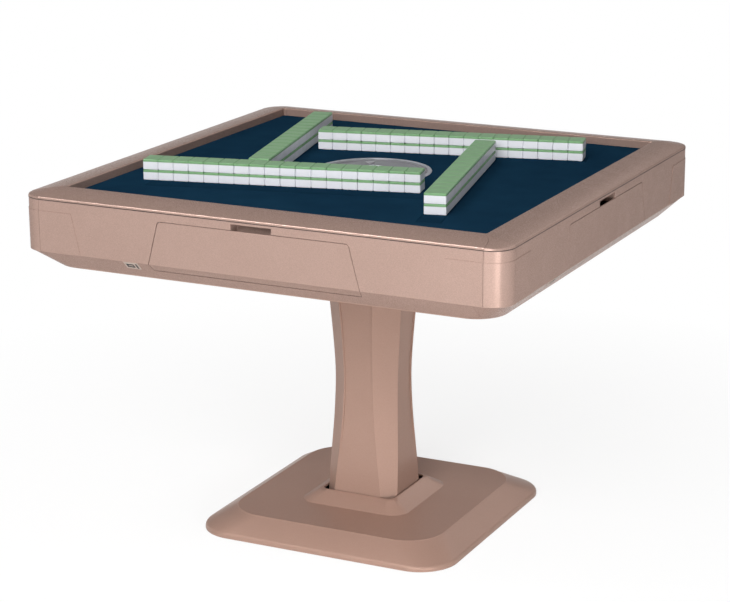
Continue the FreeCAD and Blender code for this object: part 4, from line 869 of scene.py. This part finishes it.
    def seam_shade_strip(self) -> None:
        """Lay a thin dark strip between the panels and the top frame: painted shade of the seam between them.
        """
        bm = bmesh.new()
        bmesh.ops.create_grid(bm, x_segments=1, y_segments=1, size=self.half - self.shade_strip_set_in)
        bmesh.ops.translate(bm, vec=(0.0, 0.0, self.seam - self.shade_strip_height), verts=bm.verts)
        bmesh.ops.bevel(bm, geom=bm.verts[:], offset=self.corner - self.shade_strip_set_in, offset_type="OFFSET",
                        segments=self.corner_segments, profile=0.5, affect="VERTICES", clamp_overlap=True,
                        material=-1)
        bmesh.ops.inset_region(bm, faces=bm.faces[:], thickness=self.shade_strip_depth, use_even_offset=True,
                               use_boundary=True)
        middle = min(bm.faces, key=lambda face: face.calc_center_median().to_2d().length)
        bmesh.ops.delete(bm, geom=[middle], context="FACES_ONLY")
        raised = bmesh.ops.extrude_face_region(bm, geom=bm.faces[:], use_keep_orig=True)["geom"]
        verts = [item for item in raised if isinstance(item, BMVert)]
        bmesh.ops.translate(bm, vec=(0.0, 0.0, self.shade_strip_height), verts=verts)
        bmesh.ops.recalc_face_normals(bm, faces=bm.faces)
        piece_of(bm, "seam_painted_shade", "root", [SEAM_SHADE])

    def build(self) -> None:
        """Soften the shells that show, and add the painted seam shade and the pulls' linings."""
        for side in Side:
            self.panel(side)
            self.pull_lining(side)
            softened(f"drawer_front_{side.value}", CASE_PAINT, self.front_edge)
        self.seam_shade_strip()
        for corner in ("front_right", "back_right", "back_left", "front_left"):
            softened(f"corner_cover_{corner}", CASE_PAINT, self.panel_edge)
        self.sockets()

    def dress(self) -> None:
        """Give the floor and the trays their finishes."""
        dress(PEDESTAL_LIGHTENED_PAINT, "case_floor")
        dress(TRAY, *(f"drawer_tray_{side.value}" for side in Side))
        dress(STEEL, "drawer_runners", "chassis_beams", "board_struts")


@dataclass
class TopFrame:
    """Four rails and the pieces between their ends."""

    rail_edge: Edge = Edge(0.8 * MM)
    roll: Edge = Edge(4.0 * MM, 5, math.radians(14.0))
    lip: Edge = Edge(9.0 * MM, 6, math.radians(14.0))
    half: float = 490.0 * MM
    width: float = 64.0 * MM
    shoulder: float = 714.6 * MM
    lip_level: float = 721.4 * MM
    reach: float = 1.2 * MM
    shoulder_inset: float = 4.5 * MM

    def near(self, line: BMEdge, inset: float, level: float) -> bool:
        """Whether an edge runs along the frame.

        Args:
            line: The edge.
            inset: Distance from the frame's outside at which it would run.
            level: Height at which it would run.

        Returns:
            Whether both its ends lie there.
        """
        for vert in line.verts:
            out = max(abs(vert.co.x), abs(vert.co.y))
            if abs(self.half - inset - out) > self.reach or abs(vert.co.z - level) > self.reach:
                return False
        return True

    def rounded(self, node: str) -> None:
        """Round a piece's shoulder and its inner lip widely, and its other sharp edges finely.

        Args:
            node: Name of the CAD node.
        """
        bm = cad_copy(node)
        soften(bm, self.roll, lambda line: self.near(line, self.shoulder_inset, self.shoulder))
        soften(bm, self.lip, lambda line: self.near(line, self.width, self.lip_level))
        soften(bm, self.rail_edge)
        piece_of(bm, node + "_shell", body_of(node), [CASE_PAINT], (node,))

    def build(self) -> None:
        """Round the rails and the corner pieces."""
        for side in Side:
            self.rounded(f"frame_rail_{side.value}")
        self.rounded("frame_caps")


@dataclass
class PlayingSurface:
    """Cloth, board and the plates of the lifts."""

    cloth_edge: Edge = Edge(0.5 * MM)
    cut_width: float = 0.88
    facing_up: float = 0.9

    def build(self) -> None:
        """Lay the cloth on its board."""
        bm = cad_copy("playing_cloth")
        soften(bm, self.cloth_edge)
        area = sum(face.calc_area() for face in bm.faces if face.normal.z > self.facing_up)
        cloth = piece_of(bm, "playing_cloth_sheet", "root", [CLOTH], ("playing_cloth",))

    def dress(self) -> None:
        """Give the board and the lifts their finishes."""
        dress(BOARD, "playing_board")
        dress(LIFT, *(f"lift_tray_{side.value}" for side in Side))
        dress(BRIGHT, "lift_drives")


@dataclass
class TileWalls:
    """Walls of tiles, two layers high: three on their lifts, and the front one on the cloth."""

    length: float = 30.0 * MM
    depth: float = 42.0 * MM
    height: float = 20.3 * MM
    back: float = 4.8 * MM
    turn: float = math.radians(12.6)
    edge: Edge = Edge(2.0 * MM, 3)

    def tile(self) -> BMesh:
        """One tile about its own middle, with its back's layer on top.

        Returns:
            A new bmesh, with the back in material number 0.
        """
        bm = bmesh.new()
        bmesh.ops.create_cube(bm, size=1.0)
        bmesh.ops.scale(bm, vec=(self.length, self.depth, self.height), verts=bm.verts)
        soften(bm, self.edge)
        split = self.height / 2 - self.back
        bmesh.ops.bisect_plane(bm, geom=bm.verts[:] + bm.edges[:] + bm.faces[:], dist=MERGE,
                               plane_co=(0, 0, split), plane_no=(0, 0, 1))
        for face in bm.faces:
            face.material_index = 0 if face.calc_center_median().z > split else 1
        return bm

    def build(self) -> None:
        """Lay each wall's tiles where the CAD model has them."""
        for side in Side:
            node = f"tile_wall_{side.value}"
            places = []
            for middle, height in blocks_of(node):
                layers = round(height / self.height)
                for layer in range(layers):
                    lift = Vector((0.0, 0.0, (layer - (layers - 1) / 2) * self.height))
                    turn = Matrix.Rotation(side.turn + self.turn, 4, "Z")
                    places.append(Matrix.Translation(middle + lift) @ turn)
            wall = bmesh.new()
            add_copies(wall, self.tile(), places)
            piece_of(wall, node + "_tiles", body_of(node), [TILE_BACK, TILE_BODY], (node,))


@dataclass
class CentreDisc:
    """Ring, riser, dome, dice and buttons in the middle of the cloth."""

    ring_edge: Edge = Edge(0.4 * MM)
    die: float = 12.0 * MM
    die_turns: Pair = (20.0, 65.0)
    die_edge: Edge = Edge(1.4 * MM, 3)
    pip: float = 1.2 * MM
    pip_spread: float = 0.26
    pip_rise: float = 0.12
    pip_rings: tuple[int, int] = (12, 6)

    def one_die(self) -> BMesh:
        """A die about its own middle, with its spots as dark lenses let into the faces.

        Returns:
            A new bmesh, with the spots in material number 1.
        """
        bm = bmesh.new()
        bmesh.ops.create_cube(bm, size=self.die)
        soften(bm, self.die_edge)
        spread = self.die * self.pip_spread
        around, rings = self.pip_rings
        middle, pair, cross = [(0, 0)], [(-1, -1), (1, 1)], [(-1, 1), (1, -1)]
        rows = {1: middle, 2: pair, 3: pair + middle, 4: pair + cross, 5: pair + cross + middle,
                6: pair + cross + [(-1, 0), (1, 0)]}
        turns = {1: (0, "X"), 6: (180, "X"), 2: (90, "X"), 5: (-90, "X"), 3: (90, "Y"), 4: (-90, "Y")}
        for count, (angle, axis) in turns.items():
            turn = Matrix.Rotation(math.radians(angle), 4, axis)
            for across, along in rows[count]:
                lens = bmesh.ops.create_uvsphere(bm, u_segments=around, v_segments=rings,
                                                 radius=self.pip)["verts"]
                place = Matrix.Translation((across * spread, along * spread, self.die / 2))
                flat = Matrix.Diagonal((1, 1, self.pip_rise, 1))
                bmesh.ops.transform(bm, matrix=turn @ place @ flat, verts=lens)
                for face in {face for vert in lens for face in vert.link_faces}:
                    face.material_index = 1
        return bm

    def dice(self) -> None:
        """Lay the two dice where the CAD model has them."""
        both = bmesh.new()
        places = [Matrix.Translation(place) @ Matrix.Rotation(math.radians(angle), 4, "Z")
                  for (place, _), angle in zip(blocks_of("dice"), self.die_turns)]
        add_copies(both, self.one_die(), places)
        piece_of(both, "dice_pair", body_of("dice"), [DIE_BODY, DIE_PIPS], ("dice",))

    def build(self) -> None:
        """Soften the ring and the housing, and make the dice."""
        softened("centre_trim", RING, self.ring_edge)
        softened("riser_housing", DISC, self.ring_edge)
        self.dice()

    def dress(self) -> None:
        """Give the rest its finishes."""
        dress(DOME, "dice_dome")
        dress(BUTTONS, "roll_button", "raise_button")
        dress(BRIGHT, "riser_drive", "turntable_motor", "riser_tower")
        dress(TURNTABLE, "turntable")
        dress(RUBBER, "drive_roller")


@dataclass
class Pedestal:
    """Covers of the column and the foot, over their steel."""

    column_edge: Edge = Edge(0.9 * MM)
    base_edge: Edge = Edge(1.2 * MM)
    ridge: Edge = Edge(7.0 * MM, 5, math.radians(12.0))
    rim: Edge = Edge(4.5 * MM, 4, math.radians(20.0))
    collar: Edge = Edge(6.0 * MM, 4, math.radians(12.0))
    ridge_levels: Pair = (38.0 * MM, 41.5 * MM)
    rim_levels: Pair = (8.0 * MM, 12.0 * MM)
    collar_reach: float = 125.0 * MM
    underside: float = -0.1

    def foot(self) -> None:
        """Round the foot's rim, its ridge and the bottom of its collar widely."""
        bm = cad_copy("base_cover")

        def level(line: BMEdge, levels: Pair, outside: bool) -> bool:
            """Whether a level edge of the outer skin lies between two heights.

            Args:
                line: The edge.
                levels: The two heights.
                outside: Whether it is to lie outside the collar's foot.

            Returns:
                Whether all of that holds.
            """
            reach = max(max(abs(vert.co.x), abs(vert.co.y)) for vert in line.verts)
            middle = (line.verts[0].co.z + line.verts[1].co.z) / 2
            skin = all(face.normal.z > self.underside for face in line.link_faces)
            flat = abs(line.verts[0].co.z - line.verts[1].co.z) < MERGE
            between = levels[0] < middle < levels[1]
            return flat and skin and between and (reach > self.collar_reach) == outside

        soften(bm, self.rim, lambda line: level(line, self.rim_levels, True))
        soften(bm, self.ridge, lambda line: level(line, self.ridge_levels, True))
        soften(bm, self.collar, lambda line: level(line, self.ridge_levels, False))
        soften(bm, self.base_edge)
        piece_of(bm, "base_cover_shell", body_of("base_cover"), [FOOT_LIGHTENED_PAINT],
                 ("base_cover",))

    def build(self) -> None:
        """Soften the two covers."""
        softened("column_cover", PEDESTAL_LIGHTENED_PAINT, self.column_edge)
        self.foot()

    def dress(self) -> None:
        """Give the steel and the feet their finishes."""
        dress(STEEL, "column_post", "base_frame", "head_plate")
        dress(BRIGHT, "head_bolts")
        dress(RUBBER, "levelling_feet")


@dataclass
class Electrics:
    """Control box, power supply, switch and gland."""

    def dress(self) -> None:
        """Give each its finish."""
        dress(STEEL, "control_box", "power_supply")
        dress(BLACK, "power_gland", "switch_frame", "switch_rocker")


@dataclass(frozen=True)
class SoftBox:
    """One lamp of the studio, its size and power, and whether only gloss shows it."""

    name: str
    place: Triple
    size: Pair
    power: float
    gloss_only: bool = False

    def hang(self, height: float) -> None:
        """Hang the lamp and point it at the object.

        Args:
            height: Level that it points at.
        """
        lamp = bpy.data.lights.new(self.name, "AREA")
        lamp.shape = "RECTANGLE"
        lamp.size, lamp.size_y = self.size
        lamp.energy = self.power
        made = bpy.data.objects.new(self.name, lamp)
        made.location = self.place
        aim = Vector((self.place[0] if self.gloss_only else 0.0, 0.0, height))
        made.rotation_euler = (aim - Vector(self.place)).to_track_quat("-Z", "Y").to_euler()
        made.visible_camera = False
        made.visible_diffuse = not self.gloss_only
        bpy.context.scene.collection.objects.link(made)


@dataclass
class Studio:
    """Floor, light and camera."""

    floor_radius: float = 14.0
    floor_sides: int = 96
    floor_tones: tuple[Colour, Colour] = (shade(244, 244, 244), shade(247, 247, 247))
    floor_waves: float = 1.5
    fade: Pair = (0.8, 1.0)
    fade_reach: Pair = (0.35, 1.6)
    camera_place: Triple = (1.88919, -3.83517, 1.65056)
    camera_target: Triple = (0.070664, 0.033229, 0.414563)
    lens: float = 110.075
    sensor: float = 36.0
    shift: Pair = (-0.06506, 0.01835)
    clip: Pair = (0.1, 60.0)
    lamps: tuple[SoftBox, ...] = (
        SoftBox("key", (0.8, -4.2, 2.7), (2.4, 2.4), 160.0),
        SoftBox("fill", (2.1, -2.0, 0.5), (0.9, 0.9), 25.0),
        SoftBox("low", (0.7, -2.3, 0.1), (2.0, 0.3), 6.5),
        SoftBox("crown", (-0.9, -1.25, 2.85), (0.7, 0.7), 11.0),
        SoftBox("strip", (-0.95, -1.25, 2.85), (2.2, 0.5), 100.0, True),
        SoftBox("left", (-3.8, 0.3, 1.5), (2.0, 2.0), 11.0),
        SoftBox("back", (0.5, 3.6, 3.2), (2.2, 2.2), 27.0),
    )
    lamp_aim: float = 0.5
    ambient: float = 0.18
    ceiling: float = 0.15
    mirrored: Pair = (0.03, 0.26)

    def floor(self) -> None:
        """Lay a wide pale disc that fades to white away from the object and is clear from below."""
        bm = bmesh.new()
        bmesh.ops.create_circle(bm, cap_ends=True, segments=self.floor_sides, radius=self.floor_radius)
        mesh = bpy.data.meshes.new("studio_floor")
        bm.to_mesh(mesh)
        bm.free()
        made = bpy.data.objects.new("studio_floor", mesh)
        bpy.context.scene.collection.objects.link(made)
        material = bpy.data.materials.new("studio_floor")
        material.use_nodes = True
        graph = Graph(material.node_tree)
        place = graph.add("ShaderNodeTexCoord").outputs["Object"]
        tone = graph.mix(graph.noise(place, self.floor_waves), *self.floor_tones)
        matt = graph.add("ShaderNodeBsdfDiffuse", {"Color": tone, "Roughness": 1.0}).outputs[0]
        white = graph.add("ShaderNodeEmission", {"Color": WHITE}).outputs[0]
        reach = graph.add("ShaderNodeVectorMath", {0: place}, operation="LENGTH").outputs["Value"]
        rays = graph.add("ShaderNodeLightPath").outputs
        seen = graph.largest(rays["Is Camera Ray"], rays["Is Glossy Ray"], rays["Is Transmission Ray"])
        share = graph.sum("MULTIPLY", seen, graph.spread(reach, *self.fade, *self.fade_reach))
        both = graph.add("ShaderNodeMixShader", {0: share, 1: matt, 2: white}).outputs[0]
        under = graph.add("ShaderNodeNewGeometry").outputs["Backfacing"]
        clear = graph.add("ShaderNodeBsdfTransparent").outputs[0]
        hidden = graph.sum("MULTIPLY", under, rays["Is Camera Ray"])
        floor = graph.add("ShaderNodeMixShader", {0: hidden, 1: both, 2: clear}).outputs[0]
        graph.add("ShaderNodeOutputMaterial", {"Surface": floor})
        mesh.materials.append(material)

    def world(self) -> None:
        """White where it is seen, dimmer overhead in reflections, and a plain ambient light elsewhere."""
        world = bpy.data.worlds.new("studio")
        world.use_nodes = True
        graph = Graph(world.node_tree)
        rays = graph.add("ShaderNodeLightPath").outputs
        way = graph.add("ShaderNodeTexCoord").outputs["Generated"]
        height = graph.add("ShaderNodeSeparateXYZ", {0: way}).outputs[2]
        glow = graph.spread(height, 1.0, self.ceiling, *self.mirrored)
        mirrored = graph.sum("MULTIPLY", rays["Is Glossy Ray"], glow)
        seen = graph.largest(rays["Is Camera Ray"], mirrored, rays["Is Transmission Ray"])
        strength = graph.spread(seen, self.ambient, 1.0)
        back = graph.add("ShaderNodeBackground", {"Color": WHITE, "Strength": strength})
        graph.add("ShaderNodeOutputWorld", {"Surface": back.outputs[0]})
        bpy.context.scene.world = world

    def lights(self) -> None:
        """Hang the soft boxes."""
        for lamp in self.lamps:
            lamp.hang(self.lamp_aim)

    def camera(self) -> None:
        """Stand the camera at its place."""
        data = bpy.data.cameras.new("camera")
        data.lens = self.lens
        data.sensor_width = self.sensor
        data.shift_x, data.shift_y = self.shift
        data.clip_start, data.clip_end = self.clip
        made = bpy.data.objects.new("camera", data)
        made.location = self.camera_place
        aim = Vector(self.camera_target) - Vector(self.camera_place)
        made.rotation_euler = aim.to_track_quat("-Z", "Y").to_euler()
        bpy.context.scene.collection.objects.link(made)
        bpy.context.scene.camera = made

    def build(self) -> None:
        """Set up the whole studio."""
        bpy.context.scene.view_settings.view_transform = "Standard"
        self.camera()
        self.world()
        self.floor()
        self.lights()


def main() -> None:
    """Build the sub-assemblies in order."""
    logging.basicConfig(level=logging.INFO, format="%(message)s")
    Studio().build()
    parts = (CaseShell(), TopFrame(), PlayingSurface(), TileWalls(), CentreDisc(), Pedestal(), Electrics())
    for part in parts:
        log.info("%s", type(part).__name__)
        if hasattr(part, "build"):
            part.build()
        if hasattr(part, "dress"):
            part.dress()


if __name__ == "__main__":
    main()
